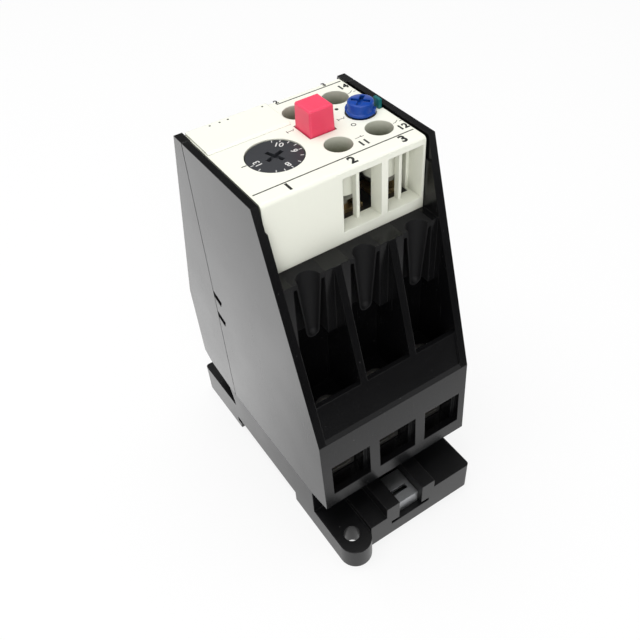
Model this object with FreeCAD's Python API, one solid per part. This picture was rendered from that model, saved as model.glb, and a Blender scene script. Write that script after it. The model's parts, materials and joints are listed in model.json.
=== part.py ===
import FreeCAD, Part
import math
import os
from collections import namedtuple

# Thermal overload relay on its mounting base, in millimetres.
# The origin is under the middle of the base, on the mounting surface. +X runs across the
# three poles, -Y faces the load terminals, +Y the line terminals and +Z the operating face.

# Housing shell
body_width = 50.0
plate_wall = 2.3
rim_wall = 1.9
crown_z = 111.5
crown_near_y = -14.4
crown_far_y = 22.9
parting_y = 18.6
parting_bevel = 0.15
parting_depth = 0.3
foot_z = 18.4
shelf_z = 91.2
shelf_thick = 1.6
slope_relief = 0.5
knee_near = (-34.2, 47.5)
toe_near = (-35.4, 20.25)
heel_near_y = -27.3
knee_far = (39.6, 49.5)
toe_far = (39.1, 22.7)
heel_far = (35.6, 20.3)
partition_wall = 2.0
partition_top_z = 78.2
chamber_near_y = -13.0
chamber_far_y = 21.4
chamber_floor_z = 20.4

# Poles, screw bays and wire windows
pole_pitch = 16.0
pole_offset = 0.35
bay_rib = 2.1
bay_floor_z = 47.0
lip_top_z = 58.6
lip_wall = 1.9
bay_wall_near_y = -20.2
bay_wall_far_y = 28.0
bay_back_near_y = -15.2
bay_back_far_y = 23.4
curtain_low_z = 71.0
guide_half = 4.3
guide_top_radius = 3.1
guide_tip_radius = 1.45
guide_tip_z = 74.2
guide_wall = 0.45
window_width = 12.6
window_low_z = 25.15
window_high_z = 37.0
front_wall = 2.0
rib_groove = 0.5

# Main terminals
load_screw_y = -24.6
line_screw_y = 30.8
cage_width = 10.0
cage_depth = 8.0
cage_low_z = 24.0
cage_high_z = 38.4
cage_wall = 1.3
cage_roof = 2.4
cage_lift = 6.6
screw_radius = 2.0
screw_head_radius = 3.6
screw_head_height = 3.0
screw_slot = 0.9
main_slot_depth = 1.4
main_cross_reach = 2.2
busbar_width = 6.4
busbar_thick = 1.5
busbar_z = 34.0
load_lug_rise = 8.5

# Heaters and bimetal strips
bimetal_thick = 1.0
bimetal_depth = 5.0
bimetal_top_z = 82.0
bimetal_y = 0.0
heater_turns = 8
heater_pitch = 3.0
heater_low_z = 45.0
heater_half_x = 2.2
heater_half_y = 3.9
ribbon_thick = 0.5
ribbon_height = 1.7

# Release train
trip_travel = 1.2
slide_thick = 2.0
slide_depth = 8.6
slide_end_gap = 2.1
lever_pivot = (-16.0, 92.0)
lever_reach_z = 80.8
lever_tip_x = -0.6
lever_thick = 1.6
train_y = 5.0
train_depth = 3.4
rocker_pivot = (10.3, 85.5)
rocker_depth = 5.0
rocker_top_z = 87.0
rocker_rise = 1.05
flag_seat_drop = 0.25
pivot_radius = 1.2
contact_half_span = 4.6
nc_bridge_x = 1.4
no_bridge_x = 19.25

# Operating face
cover_wall = 1.5
cover_roof = 2.0
cover_top_z = 111.1
mark_rise = 0.5
dial_centre = (-9.8, 0.9)
dial_radius = 7.05
dial_thick = 1.3
shaft_radius = 2.0
cam_low_z = 101.0
cam_high_z = 103.4
cam_radius = 3.4
cam_lift = 1.2
cam_sweep_deg = 240.0
test_centre = (4.2, 5.3)
test_width = 7.1
test_draft = 0.15
test_height = 6.5
test_travel = 2.5
test_stem_radius = 1.2
test_coil_radius = 2.2
reset_centre = (17.0, 4.4)
reset_radius = 3.3
plunger_radius = 2.2
reset_height = 3.2
reset_travel = 2.5
reset_stem_radius = 1.0
reset_coil_radius = 2.0
plunger_collar_radius = 2.9
lug_reach = 3.8
lug_angle_deg = -49.0
well_floor_z = 107.0
well_floor_thick = 0.9
flag_x = (21.45, 22.35)
flag_y = (2.9, 5.3)
flag_height = 2.5

# Auxiliary terminals
aux_x = (4.4, 16.2)
aux_near_y = -4.35
aux_far_y = 14.35
aux_hole_radius = 3.5
aux_tube_wall = 0.9
aux_tube_low_z = 99.6
aux_plate = 7.8
aux_plate_thick = 1.0
aux_screw_radius = 1.75
aux_head_radius = 2.8
aux_head_height = 2.3
aux_travel = 2.0
strip_half = 0.85
leg_half = 0.5
rivet_radius = 0.8
cell_spans = ((-1.4, 9.6), (11.5, 21.9))
cell_floor_z = 94.3
cell_high_z = 109.1
cell_depth = 4.4
cell_rib = 0.9
cell_rib_inset = 2.7
tray_z = 93.3
tray_thick = 1.0
tray_wall = 0.7
tray_wall_span = 4.5
tray_wall_high_z = 104.5

# Mounting base
base_length = 85.8
base_right_x = 22.5
ear_top_z = 8.0
base_top_z = 11.0
step_top_z = 10.0
guide_top_z = 14.5
guide_width = 4.6
ear_radius = 5.0
ear_centre_x = -20.0
ear_reach = 3.7
far_ear_x = 17.5
hole_radius = 2.4
hole_half_span = 40.0
rail_width = 35.4
rail_near_y = -16.1
rail_depth = 4.2
rail_hook = 1.8
rail_hook_z = 2.4
latch_x = -0.4
latch_width = 8.3
latch_height = 4.0
latch_wing = 14.0
latch_sheet = 1.2
latch_front = 1.9
latch_top_z = 10.3
latch_grip_gap = 3.7
latch_wing_gap = 7.9
latch_coil_radius = 1.6
pocket_spans = ((-22.5, -11.0), (9.5, 20.5))

# Fits
seat_gap = 0.15
slide_gap = 0.3
turn_gap = 0.05
touch_gap = 0.1
spring_wire = 0.28

half_width = body_width / 2
inner_x = half_width - plate_wall
near_edge = -base_length / 2
poles = [pole_offset + (n - 1) * pole_pitch for n in range(3)]
bay_half = (pole_pitch - bay_rib) / 2
cover_under_z = cover_top_z - cover_roof
cover_x = inner_x - seat_gap
strip_z = tray_z + tray_thick
contact_low_z = rocker_top_z + 2.5
well_radius = lug_reach + 0.15

Vec = FreeCAD.Vector
Side = namedtuple("Side", "sign crown knee toe bay_wall bay_back screw_y chamber")
near_side = Side(-1, crown_near_y, knee_near, toe_near, bay_wall_near_y, bay_back_near_y, load_screw_y,
                 chamber_near_y)
far_side = Side(1, crown_far_y, knee_far, toe_far, bay_wall_far_y, bay_back_far_y, line_screw_y,
                chamber_far_y)


# Shape helpers
def block(x, y, z):
    """Box between two values on each axis, given in either order."""
    lows = [min(pair) for pair in (x, y, z)]
    sizes = [abs(pair[1] - pair[0]) for pair in (x, y, z)]
    return Part.makeBox(*sizes, Vec(*lows))


def rod(radius, centre, z):
    """Upright cylinder about an (x, y) centre."""
    return Part.makeCylinder(radius, z[1] - z[0], Vec(centre[0], centre[1], z[0]))


def chamfered_rod(radius, centre, z, chamfer):
    """Upright cylinder with its top edge broken."""
    foot = Vec(centre[0], centre[1], z[1] - chamfer)
    bevel = Part.makeCone(radius, radius - chamfer, chamfer, foot)
    return join([rod(radius, centre, (z[0], z[1] - chamfer)), bevel])


def rod_along_y(radius, centre, y):
    """Cylinder along Y about an (x, z) centre."""
    return Part.makeCylinder(radius, y[1] - y[0], Vec(centre[0], y[0], centre[1]), Vec(0, 1, 0))


def polygon(points):
    return Part.Face(Part.makePolygon(points + points[:1]))


def prism_x(points, x):
    """Prism along X of a (y, z) outline."""
    return polygon([Vec(x[0], y, z) for y, z in points]).extrude(Vec(x[1] - x[0], 0, 0))


def prism_y(points, y):
    """Prism along Y of an (x, z) outline."""
    return polygon([Vec(x, y[0], z) for x, z in points]).extrude(Vec(0, y[1] - y[0], 0))


def join(shapes):
    """One clean solid from touching or overlapping shapes."""
    shapes = list(shapes)
    return shapes[0].fuse(shapes[1:]).removeSplitter() if len(shapes) > 1 else shapes[0]


def trim(shape, tools):
    """The shape with the tools cut away."""
    return shape.cut(list(tools)).removeSplitter()


def around(centre, reach):
    """The two values that lie one reach each side of a centre."""
    return (centre - reach, centre + reach)


def upright_edges(shape, test):
    """Straight edges along Z whose (x, y) place passes a test."""
    picked = []
    for edge in shape.Edges:
        a, b = edge.Vertexes[0].Point, edge.Vertexes[-1].Point
        if abs(a.x - b.x) + abs(a.y - b.y) < 1e-6 and abs(a.z - b.z) > 0.5 and test(a.x, a.y):
            picked.append(edge)
    return picked


def coil(radius, wire, height, turns, low):
    """Open compression spring of six-sided wire with its axis on +Z through the point low."""
    rise = height - 2 * wire
    steps = 10 * turns
    slant = math.atan2(rise, 2 * math.pi * radius * turns)
    sections = []
    for n in range(steps + 1):
        turn = 2 * math.pi * turns * n / steps
        out = Vec(math.cos(turn), math.sin(turn), 0)
        up = Vec(math.sin(turn) * math.sin(slant), -math.cos(turn) * math.sin(slant), math.cos(slant))
        centre = low + out * radius + Vec(0, 0, wire + rise * n / steps)
        ring = []
        for k in range(6):
            angle = math.radians(60 * k)
            ring.append(centre + out * (wire * math.cos(angle)) + up * (wire * math.sin(angle)))
        sections.append(Part.makePolygon(ring + ring[:1]))
    return Part.makeLoft(sections, True, True)


# Housing shell
def slope_y(side, z, inset=0.0):
    """Y of the sloping edge of a side plate at a height, moved inwards by an inset."""
    share = (crown_z - z) / (crown_z - side.knee[1])
    return side.crown + (side.knee[0] - side.crown) * share - side.sign * inset


def side_profile():
    """Outline of the housing seen along X, from the parting line round each end."""
    front = [(parting_y, foot_z), (heel_near_y, foot_z), toe_near, knee_near,
             (crown_near_y, crown_z), (parting_y, crown_z)]
    rear = [(parting_y, crown_z), (crown_far_y, crown_z), knee_far, toe_far, heel_far,
            (heel_far[0] - 12.9, foot_z), (parting_y, foot_z)]
    return front, rear


def bay_cuts(side, x):
    """Open bay over one main screw, and the deeper space behind and below its curtain wall."""
    out = side.sign * 6.0
    lip_y = slope_y(side, lip_top_z, lip_wall)
    floor_y = side.knee[0] - side.sign * lip_wall
    outline = [(side.bay_wall, shelf_z), (slope_y(side, shelf_z) + out, shelf_z),
               (slope_y(side, lip_top_z) + out, lip_top_z), (lip_y, lip_top_z),
               (floor_y, bay_floor_z), (side.bay_wall, bay_floor_z)]
    x_low, x_high = around(x, bay_half)
    x_span = (max(x_low, -inner_x), min(x_high, inner_x))
    depth = (side.bay_wall + side.sign * 0.1, side.bay_back)
    return [prism_x(outline, x_span),
            block(x_span, depth, (bay_floor_z, curtain_low_z)),
            block(around(x, guide_half), depth, (curtain_low_z - 0.1, shelf_z - shelf_thick))]


def guide_cone(side, x, wall, top_z):
    """Tapered core with a ball end that guides the screwdriver, grown by a wall."""
    tip = guide_tip_radius + wall
    slope = (guide_top_radius - guide_tip_radius) / (shelf_z - guide_tip_z)
    top = tip + slope * (top_z - guide_tip_z)
    foot = Vec(x, side.bay_wall, guide_tip_z)
    cone = Part.makeCone(tip, top, top_z - guide_tip_z, foot)
    return join([cone, Part.makeSphere(tip, foot)])


def driver_guide(side, x):
    """Thin half-round guide that hangs from the shelf."""
    shell = guide_cone(side, x, guide_wall, shelf_z - shelf_thick + 0.2)
    reach = (side.bay_wall, side.bay_back)
    return shell.common(block(around(x, guide_half), reach, (curtain_low_z, shelf_z)))


def terminal_cuts(side, x):
    """Wire window, cage pocket, screw hole and busbar slot of one main terminal."""
    outside = side.knee[0] + side.sign * 3.0
    window_back = side.toe[0] - side.sign * (front_wall + 0.4)
    cage_in = side.screw_y - side.sign * (cage_depth / 2 + slide_gap)
    return [
        block(around(x, window_width / 2), (outside, window_back), (window_low_z, window_high_z)),
        block(around(x, cage_width / 2 + slide_gap), (window_back + side.sign * 0.1, cage_in),
              (cage_low_z - slide_gap, cage_high_z + cage_lift + slide_gap)),
        rod(screw_radius + slide_gap, (x, side.screw_y), (cage_high_z, bay_floor_z + 1.0)),
        block(around(x, busbar_width / 2 + touch_gap), (cage_in + side.sign, side.chamber - side.sign),
              (busbar_z - touch_gap, busbar_z + busbar_thick + touch_gap)),
    ]


def housing_core(side, profile, y_range):
    """One half of the housing: plates, end wall with bays and terminals, and chamber walls."""
    shell = prism_x(profile, (-half_width, half_width))
    beyond = side.sign * 30.0
    cuts = [
        block((-inner_x, inner_x), (y_range[0], side.crown + beyond), (shelf_z, crown_z + 5.0)),
        block((-inner_x, inner_x), y_range, (partition_top_z, shelf_z)),
        prism_x([(slope_y(side, crown_z, slope_relief), crown_z + 1),
                 (slope_y(side, crown_z) + beyond, crown_z + 1),
                 (side.knee[0] + beyond, side.knee[1]),
                 (side.knee[0], side.knee[1]),
                 (slope_y(side, side.knee[1] + 1.2, slope_relief), side.knee[1] + 1.2)],
                (-inner_x, inner_x)),
    ]
    for n, x in enumerate(poles):
        x_low, x_high = around(x, (pole_pitch - partition_wall) / 2)
        x_low = -inner_x if n == 0 else x_low
        x_high = inner_x if n == 2 else x_high
        cuts.append(block((x_low, x_high), y_range, (chamber_floor_z, partition_top_z)))
        cuts += bay_cuts(side, x)
        cuts += terminal_cuts(side, x)
    for x in poles[:2]:
        edge = x + window_width / 2
        face = (side.toe[0] + side.sign * 5, side.toe[0] - side.sign * 0.2)
        cuts.append(block((edge + 0.1, edge + 0.1 + rib_groove), face, (window_low_z, window_high_z)))
    housing = join([trim(shell, cuts)] + [driver_guide(side, x) for x in poles])
    return trim(housing, [guide_cone(side, x, 0.0, shelf_z + 1.0) for x in poles])


def snap_outline(low_z, gap):
    """Outline in (y, z) of a snap tongue that crosses the parting line."""
    tip = parting_y - 4.6 + gap
    return [(parting_y, low_z + 2.4 - gap), (tip, low_z + 0.9 - gap), (tip + 0.9, low_z - 1.4 + gap),
            (parting_y, low_z + gap)]


def snap_tongues(gap, x_outer):
    """Both tongues on both side plates."""
    tongues = []
    for low_z in (62.2, 54.3):
        for sign in (-1, 1):
            tongues.append(prism_x(snap_outline(low_z, gap), (sign * inner_x, sign * x_outer)))
    return tongues


def parting_grooves():
    """Shallow groove along the parting line of both side plates."""
    y = around(parting_y, parting_bevel)
    return [block((sign * (half_width - parting_depth), sign * (half_width + 1)), y, (0, crown_z + 1))
            for sign in (-1, 1)]


def make_housing():
    front, rear = side_profile()
    front_core = housing_core(near_side, front, (parting_y, chamber_near_y))
    rear_core = housing_core(far_side, rear, (parting_y, chamber_far_y))
    thin_rim = [block((sign * inner_x, sign * (half_width - rim_wall)), (crown_near_y - 4, parting_y),
                      (crown_z - 6.5, crown_z + 1)) for sign in (-1, 1)]
    front_core = trim(front_core, thin_rim + snap_tongues(0.0, half_width + 1) + parting_grooves())
    rear_core = trim(join([rear_core] + snap_tongues(seat_gap, half_width - 0.6)), parting_grooves())
    return {"housing_front": front_core, "housing_rear": rear_core}


# Mounting base
def base_foot():
    """Foot plate with its two rounded ears and raised lands."""
    half = base_length / 2
    ear_y = half + ear_reach - ear_radius
    ear_low = (ear_centre_x - ear_radius, ear_centre_x + ear_radius)
    ear_high = (far_ear_x - ear_radius, far_ear_x + ear_radius)
    foot = [
        block((ear_low[1], ear_high[0]), (-half, half), (0, ear_top_z)),
        block(ear_low, (-ear_y, half), (0, ear_top_z)),
        block(ear_high, (-half, ear_y), (0, ear_top_z)),
        rod(ear_radius, (ear_centre_x, -ear_y), (0, ear_top_z)),
        rod(ear_radius, (far_ear_x, ear_y), (0, ear_top_z)),
    ]
    lands = [
        block((latch_x + latch_width / 2, base_right_x), (-half, heel_near_y), (0, base_top_z)),
        block((ear_low[1], latch_x - latch_width / 2), (-half, heel_near_y), (0, step_top_z)),
        block((-half_width, latch_x), (half, parting_y), (0, base_top_z)),
    ]
    for sign in (-1, 1):
        inner = latch_x + sign * (latch_width / 2 + touch_gap)
        lands.append(block((inner, inner + sign * guide_width), (-half, heel_near_y), (0, guide_top_z)))
    return join(foot + lands)


def make_base():
    """Base moulding with pedestal, rail slot, latch channel and mounting holes."""
    pedestal = prism_x([(heel_near_y, 0), (heel_near_y, foot_z), (heel_far[0] - 12.9, foot_z),
                        (parting_y + 2, foot_z - 5.7), (parting_y + 2, 0)], (-half_width, half_width))
    base = join([base_foot(), pedestal])
    wide = half_width + 5
    rail_far = rail_near_y + rail_width
    wing = latch_wing / 2 + touch_gap
    channel = latch_width / 2 + touch_gap
    strip_low = latch_top_z - latch_height - latch_sheet + 0.2
    stop_y = heel_near_y
    cuts = [
        block((-wide, wide), (rail_near_y, rail_far), (-1, rail_depth)),
        block((-wide, wide), (rail_far - 1, rail_far + rail_hook), (rail_hook_z, rail_depth)),
        block(around(latch_x, wing), (near_edge - 1, rail_near_y + 1),
              (strip_low - touch_gap, strip_low + latch_sheet + touch_gap)),
        block(around(latch_x, channel), (near_edge - 1, stop_y - 1.7), (strip_low, guide_top_z + 1)),
        block(around(latch_x, 2.4), (stop_y, rail_near_y + 2.0), (strip_low, latch_top_z + slide_gap)),
        block(around(latch_x, channel), (rail_near_y - 5.2, rail_near_y + 1), (-1, strip_low + 1)),
    ]
    for x, y in ((ear_centre_x, -hole_half_span), (far_ear_x, hole_half_span)):
        cuts.append(rod(hole_radius, (x, y), (-1, ear_top_z + 1)))
    cuts += foot_pockets()
    base = trim(base, cuts)
    corners = upright_edges(base, lambda x, y: abs(abs(y) - base_length / 2) < 0.01
                            and (abs(x - base_right_x) < 0.01 or (x < -half_width + 0.01 and y > 0)))
    return base.makeFillet(1.2, corners)


def foot_pockets():
    """Weight-saving pockets in the underside of the foot, each side of the latch and rail slot."""
    pockets = []
    for x in pocket_spans:
        pockets.append(block(x, (near_edge + 9.5, rail_near_y - 2.5), (-1, ear_top_z - 2.2)))
        pockets.append(block(x, (rail_near_y + rail_width + rail_hook + 2.5, -near_edge - 9.5),
                             (-1, ear_top_z - 2.2)))
    return pockets


def make_latch():
    """Sprung metal latch: folded grip, guided strip, spring lug and hooked nose."""
    front_y = near_edge + latch_front
    strip_low = latch_top_z - latch_height - latch_sheet + 0.2
    strip = (strip_low, strip_low + latch_sheet)
    body = around(latch_x, latch_width / 2)
    lug_y = rail_near_y - 1.2
    nose_low = rail_hook_z - 0.6
    pieces = [
        block(body, (front_y, heel_near_y - latch_grip_gap), (latch_top_z - latch_sheet, latch_top_z)),
        block(body, (front_y, front_y + latch_sheet), (strip[0], latch_top_z)),
        block(body, (front_y, rail_near_y - 0.3), strip),
        block(around(latch_x, latch_wing / 2), (front_y + 5, rail_near_y - latch_wing_gap), strip),
        block(around(latch_x, 2.0), (lug_y, lug_y + 0.9), (strip[0], latch_top_z - 0.1)),
        block(body, (rail_near_y - 1.5, rail_near_y - 0.3), (nose_low, strip[1])),
        block(body, (rail_near_y - 1.5, rail_near_y + 3.5), (nose_low, nose_low + latch_sheet)),
    ]
    tool_slot = block(around(latch_x, 2.6), (front_y + 3.0, front_y + 4.6),
                      (latch_top_z - 2, latch_top_z + 1))
    spring_low = heel_near_y + touch_gap
    spring = coil(latch_coil_radius, spring_wire, lug_y - touch_gap - spring_low, 6, Vec(0, 0, 0))
    spring.rotate(Vec(0, 0, 0), Vec(1, 0, 0), -90)
    spring.translate(Vec(latch_x, spring_low, strip[1] + 2.1))
    return {"rail_latch": trim(join(pieces), [tool_slot]), "latch_spring": spring}


# Main terminals
def make_cage(side, x):
    """Lift cage: a folded box, open along the wire, with a threaded roof."""
    outer = block(around(x, cage_width / 2), around(side.screw_y, cage_depth / 2), (cage_low_z, cage_high_z))
    hollow = block(around(x, cage_width / 2 - cage_wall), around(side.screw_y, cage_depth),
                   (cage_low_z + cage_wall, cage_high_z - cage_roof))
    bore = rod(screw_radius + turn_gap, (x, side.screw_y), (cage_low_z + cage_wall + 1, cage_high_z + 1))
    return trim(outer, [hollow, bore])


def make_main_screw(side, x):
    """Slotted terminal screw whose tip bears on the busbar."""
    centre = (x, side.screw_y)
    head = (bay_floor_z + touch_gap, bay_floor_z + touch_gap + screw_head_height)
    shank = rod(screw_radius, centre, (busbar_z + busbar_thick + touch_gap, head[0] + 1))
    cap = chamfered_rod(screw_head_radius, centre, head, 0.4)
    cut = (head[1] - main_slot_depth, head[1] + 1)
    slots = [block(around(x, screw_head_radius), around(side.screw_y, screw_slot / 2), cut),
             block(around(x, screw_slot / 2), around(side.screw_y, main_cross_reach), cut)]
    return trim(join([shank, cap]), slots)


def make_load_busbar(x):
    """Load bar from the cage to the lug that holds the bimetal strip."""
    front = load_screw_y - cage_depth / 2 - 1.5
    bar = block(around(x, busbar_width / 2), (front, bimetal_y + bimetal_depth / 2),
                (busbar_z, busbar_z + busbar_thick))
    lug = block((x + bimetal_thick / 2, x + bimetal_thick / 2 + busbar_thick),
                around(bimetal_y, bimetal_depth / 2), (busbar_z, busbar_z + load_lug_rise))
    return join([bar, lug])


def make_line_busbar(x):
    """Line bar from the cage to the lug that feeds the heater."""
    front = line_screw_y + cage_depth / 2 + 0.8
    lug_y = bimetal_y + heater_half_y + 2.2
    bar = block(around(x, busbar_width / 2), (lug_y, front), (busbar_z, busbar_z + busbar_thick))
    lug = block((x - busbar_width / 2, x - busbar_width / 2 + 3.0), (lug_y, lug_y + busbar_thick),
                (busbar_z, heater_low_z + 1.0))
    return join([bar, lug])


def make_bimetal(x):
    """Upright bimetal strip, spot welded to the load lug, with a narrowed tip."""
    low = busbar_z + busbar_thick + 0.5
    half = bimetal_depth / 2
    outline = [(-half, low), (half, low), (half, bimetal_top_z - 6), (half - 1.2, bimetal_top_z - 4),
               (half - 1.2, bimetal_top_z), (1.2 - half, bimetal_top_z), (1.2 - half, bimetal_top_z - 4),
               (-half, bimetal_top_z - 6)]
    return prism_x([(y + bimetal_y, z) for y, z in outline], around(x, bimetal_thick / 2))


def make_heater(x):
    """Flat ribbon wound round the strip, with a lead at each end."""
    hx, hy, t, h = heater_half_x, heater_half_y, ribbon_thick, ribbon_height
    half_rise = heater_pitch / 2
    pieces = []
    for n in range(heater_turns):
        z = heater_low_z + n * heater_pitch
        up = [(-hy, z), (hy, z + half_rise), (hy, z + half_rise + h), (-hy, z + h)]
        back = [(hy, z + half_rise), (-hy, z + heater_pitch), (-hy, z + heater_pitch + h),
                (hy, z + half_rise + h)]
        pieces.append(prism_x(up, (x - hx, x - hx + t)))
        pieces.append(prism_x(back, (x + hx - t, x + hx)))
        pieces.append(block((x - hx, x + hx), (hy - t, hy), (z + half_rise, z + half_rise + h)))
        pieces.append(block((x - hx, x + hx), (-hy, t - hy), (z + heater_pitch, z + heater_pitch + h)))
    lug_y = bimetal_y + hy + 2.2
    low_lead = block((x - hx, x - hx + t + 0.6), (-hy, lug_y), (heater_low_z - h, heater_low_z + 0.4))
    top = heater_low_z + heater_turns * heater_pitch
    high_lead = block((x + bimetal_thick / 2, x + hx), (-hy, -hy + t + 1.6), (top, top + h))
    tail = block((x + bimetal_thick / 2, x + bimetal_thick / 2 + t), (-hy, 0), (top, top + h))
    return join(pieces + [low_lead, high_lead, tail])


# Release train
def make_trip_slide():
    """Bar pushed by the three strip tips, with a window for each and a finger for the lever."""
    low = partition_top_z + slide_gap
    bar = block(around(0, inner_x - slide_end_gap), around(bimetal_y, slide_depth / 2),
                (low, low + slide_thick))
    finger_x = lever_pivot[0] + lever_thick / 2 + slide_gap
    finger_y = (slide_depth / 2 - 1, train_y + train_depth / 2)
    finger = block((finger_x, finger_x + 1.5), finger_y, (low, low + slide_thick + 1.6))
    windows = []
    for x in poles:
        span = (x - bimetal_thick / 2 - slide_gap, x + bimetal_thick / 2 + trip_travel + 2 * slide_gap)
        reach = around(bimetal_y, bimetal_depth / 2 + slide_gap)
        windows.append(block(span, reach, (low - 1, low + slide_thick + 1)))
    return trim(join([bar, finger]), windows)


def make_release_lever():
    """Cranked lever between the trip slide and the contact rocker."""
    px, pz = lever_pivot
    y = around(train_y, train_depth / 2)
    tip_low = rocker_top_z + 1.0 + slide_gap
    half = lever_thick / 2
    outline = [(px - half, lever_reach_z), (px + half, lever_reach_z), (px + half, pz - 3.0),
               (lever_tip_x - 4.0, tip_low + 1.6), (lever_tip_x - 2.0, tip_low), (lever_tip_x, tip_low),
               (lever_tip_x, tip_low + 2.6), (px + 2.2, pz + 1.2), (px, pz + 2.0), (px - 2.0, pz)]
    return trim(prism_y(outline, y), [rod_along_y(1.0 + turn_gap, lever_pivot, (y[0] - 1, y[1] + 1))])


def make_setting_arm():
    """Sliding carrier that follows the cam and holds the lever pin."""
    px, pz = lever_pivot
    pad_x = dial_centre[0] - cam_radius - touch_gap
    plate = (cam_low_z - touch_gap, cam_high_z)
    y_low, y_high = around(train_y, train_depth / 2)
    top = block((px - 2.5, pad_x), (dial_centre[1] - 1.5, y_high + 3.3), plate)
    cheeks = []
    for y in ((y_low - slide_gap - 1.1, y_low - slide_gap), (y_high + slide_gap, y_high + slide_gap + 1.1)):
        outline = [(px - 2.0, pz - 2.0), (px + 2.0, pz - 2.0), (px + 2.4, plate[0] + 0.5),
                   (px - 2.5, plate[0] + 0.5)]
        cheeks.append(prism_y(outline, y))
    return trim(join([top] + cheeks), [rod_along_y(1.0, lever_pivot, (y_low - 3, y_high + 3))])


def make_lever_pin():
    reach = train_depth / 2 + slide_gap + 1.1
    return rod_along_y(1.0, lever_pivot, around(train_y, reach))


def make_rocker():
    """Contact carrier that tips about the rocker pin."""
    px, pz = rocker_pivot
    y = around(train_y, rocker_depth / 2)
    seat_z = rocker_top_z - flag_seat_drop
    outline = [(-3.0, rocker_top_z + 1.0), (-3.0, rocker_top_z - 1.0), (px - 6, pz - 1.6),
               (px - 3, pz - 2.4), (px + 3, pz - 2.4), (px + 6, pz - 1.6),
               (21.4, rocker_top_z - 2.0), (21.4, seat_z), (18.1, seat_z), (18.1, rocker_top_z),
               (2.5, rocker_top_z), (2.5, rocker_top_z + 1.0)]
    bore = rod_along_y(pivot_radius + turn_gap, rocker_pivot, (y[0] - 1, y[1] + 1))
    return trim(prism_y(outline, y), [bore])


def make_bridge(x, seat_z):
    """Moving contact bar with a rivet at each end."""
    z = (seat_z, seat_z + 0.6)
    pieces = [block(around(x, 0.9), around(train_y, contact_half_span + 1.0), z)]
    for sign in (-1, 1):
        centre = (x, train_y + sign * contact_half_span)
        pieces.append(rod(rivet_radius, centre, (z[1] - 0.1, z[1] + 0.8)))
    return join(pieces)


def make_contact_strip(x, sign, bridge_x):
    """Auxiliary terminal strip that ends in a fixed contact over the bridge."""
    screw_y = aux_near_y if sign < 0 else aux_far_y
    top = strip_z + aux_plate_thick
    plate = block(around(x, aux_plate / 2), around(screw_y, aux_plate / 2), (strip_z, top))
    contact_y = train_y + sign * contact_half_span
    width = around(bridge_x, strip_half)
    run = block(width, (screw_y, contact_y - sign * leg_half), (strip_z, top))
    leg = block(width, around(contact_y, leg_half), (contact_low_z + 0.7, top))
    rivet = rod(rivet_radius, (bridge_x, contact_y), (contact_low_z, contact_low_z + 0.8))
    bore = rod(aux_screw_radius + turn_gap, (x, screw_y), (strip_z - 1, strip_z + 2))
    return trim(join([plate, run, leg, rivet]), [bore])


def make_aux_screw(x, y):
    """Cross-slotted screw of an auxiliary terminal, backed off from its strip."""
    head_low = strip_z + aux_plate_thick + aux_travel + 1.3 + 2 * touch_gap
    head = (head_low, head_low + aux_head_height)
    shank = rod(aux_screw_radius, (x, y), (strip_z - 2.4, head[0] + 0.5))
    cap = rod(aux_head_radius, (x, y), head)
    slots = [block(around(x, aux_head_radius), around(y, 0.4), (head[1] - 1.1, head[1] + 1)),
             block(around(x, 0.4), around(y, 1.8), (head[1] - 1.1, head[1] + 1))]
    return trim(join([shank, cap]), slots)


def make_aux_saddle(x, y):
    """Square wire clamp under the screw head, ribbed below."""
    low = strip_z + aux_plate_thick + aux_travel + touch_gap
    plate = block(around(x, 3.2), around(y, 3.2), (low, low + 1.3))
    cuts = [rod(aux_screw_radius + turn_gap, (x, y), (low - 1, low + 2))]
    for side in (-1, 1):
        cuts.append(block((x + side * 2.0, x + side * 2.5), around(y, 4), (low - 1, low + 0.4)))
    return trim(plate, cuts)


def make_tray():
    """Inner tray that carries the auxiliary strips and the rocker pin."""
    y_range = sorted(back + inwards * seat_gap for _, back, inwards in cell_walls())
    plate = block((-1.6, cover_x - cover_wall - seat_gap), y_range, (tray_z, strip_z))
    px, pz = rocker_pivot
    hangers = []
    for sign in (-1, 1):
        inner = train_y + sign * (rocker_depth / 2 + slide_gap)
        outline = [(px - 3.2, tray_z + 0.5), (px - 1.8, pz - 2.0), (px + 1.8, pz - 2.0),
                   (px + 3.2, tray_z + 0.5)]
        hangers.append(prism_y(outline, (inner, inner + sign * 1.0)))
    walls = []
    notches = []
    for sign in (-1, 1):
        y = around(train_y + sign * tray_wall_span, tray_wall / 2)
        walls.append(block((-1.6, cover_x - cover_wall - seat_gap), y, (tray_z, tray_wall_high_z)))
        for x in (nc_bridge_x, no_bridge_x):
            notches.append(block(around(x, strip_half + touch_gap), around(y[0], 2),
                                 (strip_z, strip_z + aux_plate_thick + touch_gap)))
    tray = trim(join([plate] + walls + hangers), notches)
    through = (tray_z - 1, strip_z + 1)
    cuts = [rod_along_y(pivot_radius, rocker_pivot, around(train_y, 6)),
            rod(test_stem_radius + slide_gap, test_centre, through),
            rod(reset_stem_radius + slide_gap, reset_centre, through),
            block((20.3, 23), (flag_y[0] - slide_gap, flag_y[1] + slide_gap), through)]
    for x in aux_x:
        for y in (aux_near_y, aux_far_y):
            cuts.append(rod(aux_screw_radius + slide_gap, (x, y), through))
    for x in (nc_bridge_x, no_bridge_x):
        for sign in (-1, 1):
            leg_y = around(train_y + sign * contact_half_span, leg_half + touch_gap)
            cuts.append(block(around(x, strip_half + touch_gap), leg_y, through))
    return trim(tray, cuts)


def make_rocker_pin():
    return rod_along_y(pivot_radius, rocker_pivot, around(train_y, rocker_depth / 2 + slide_gap + 1.0))


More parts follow.
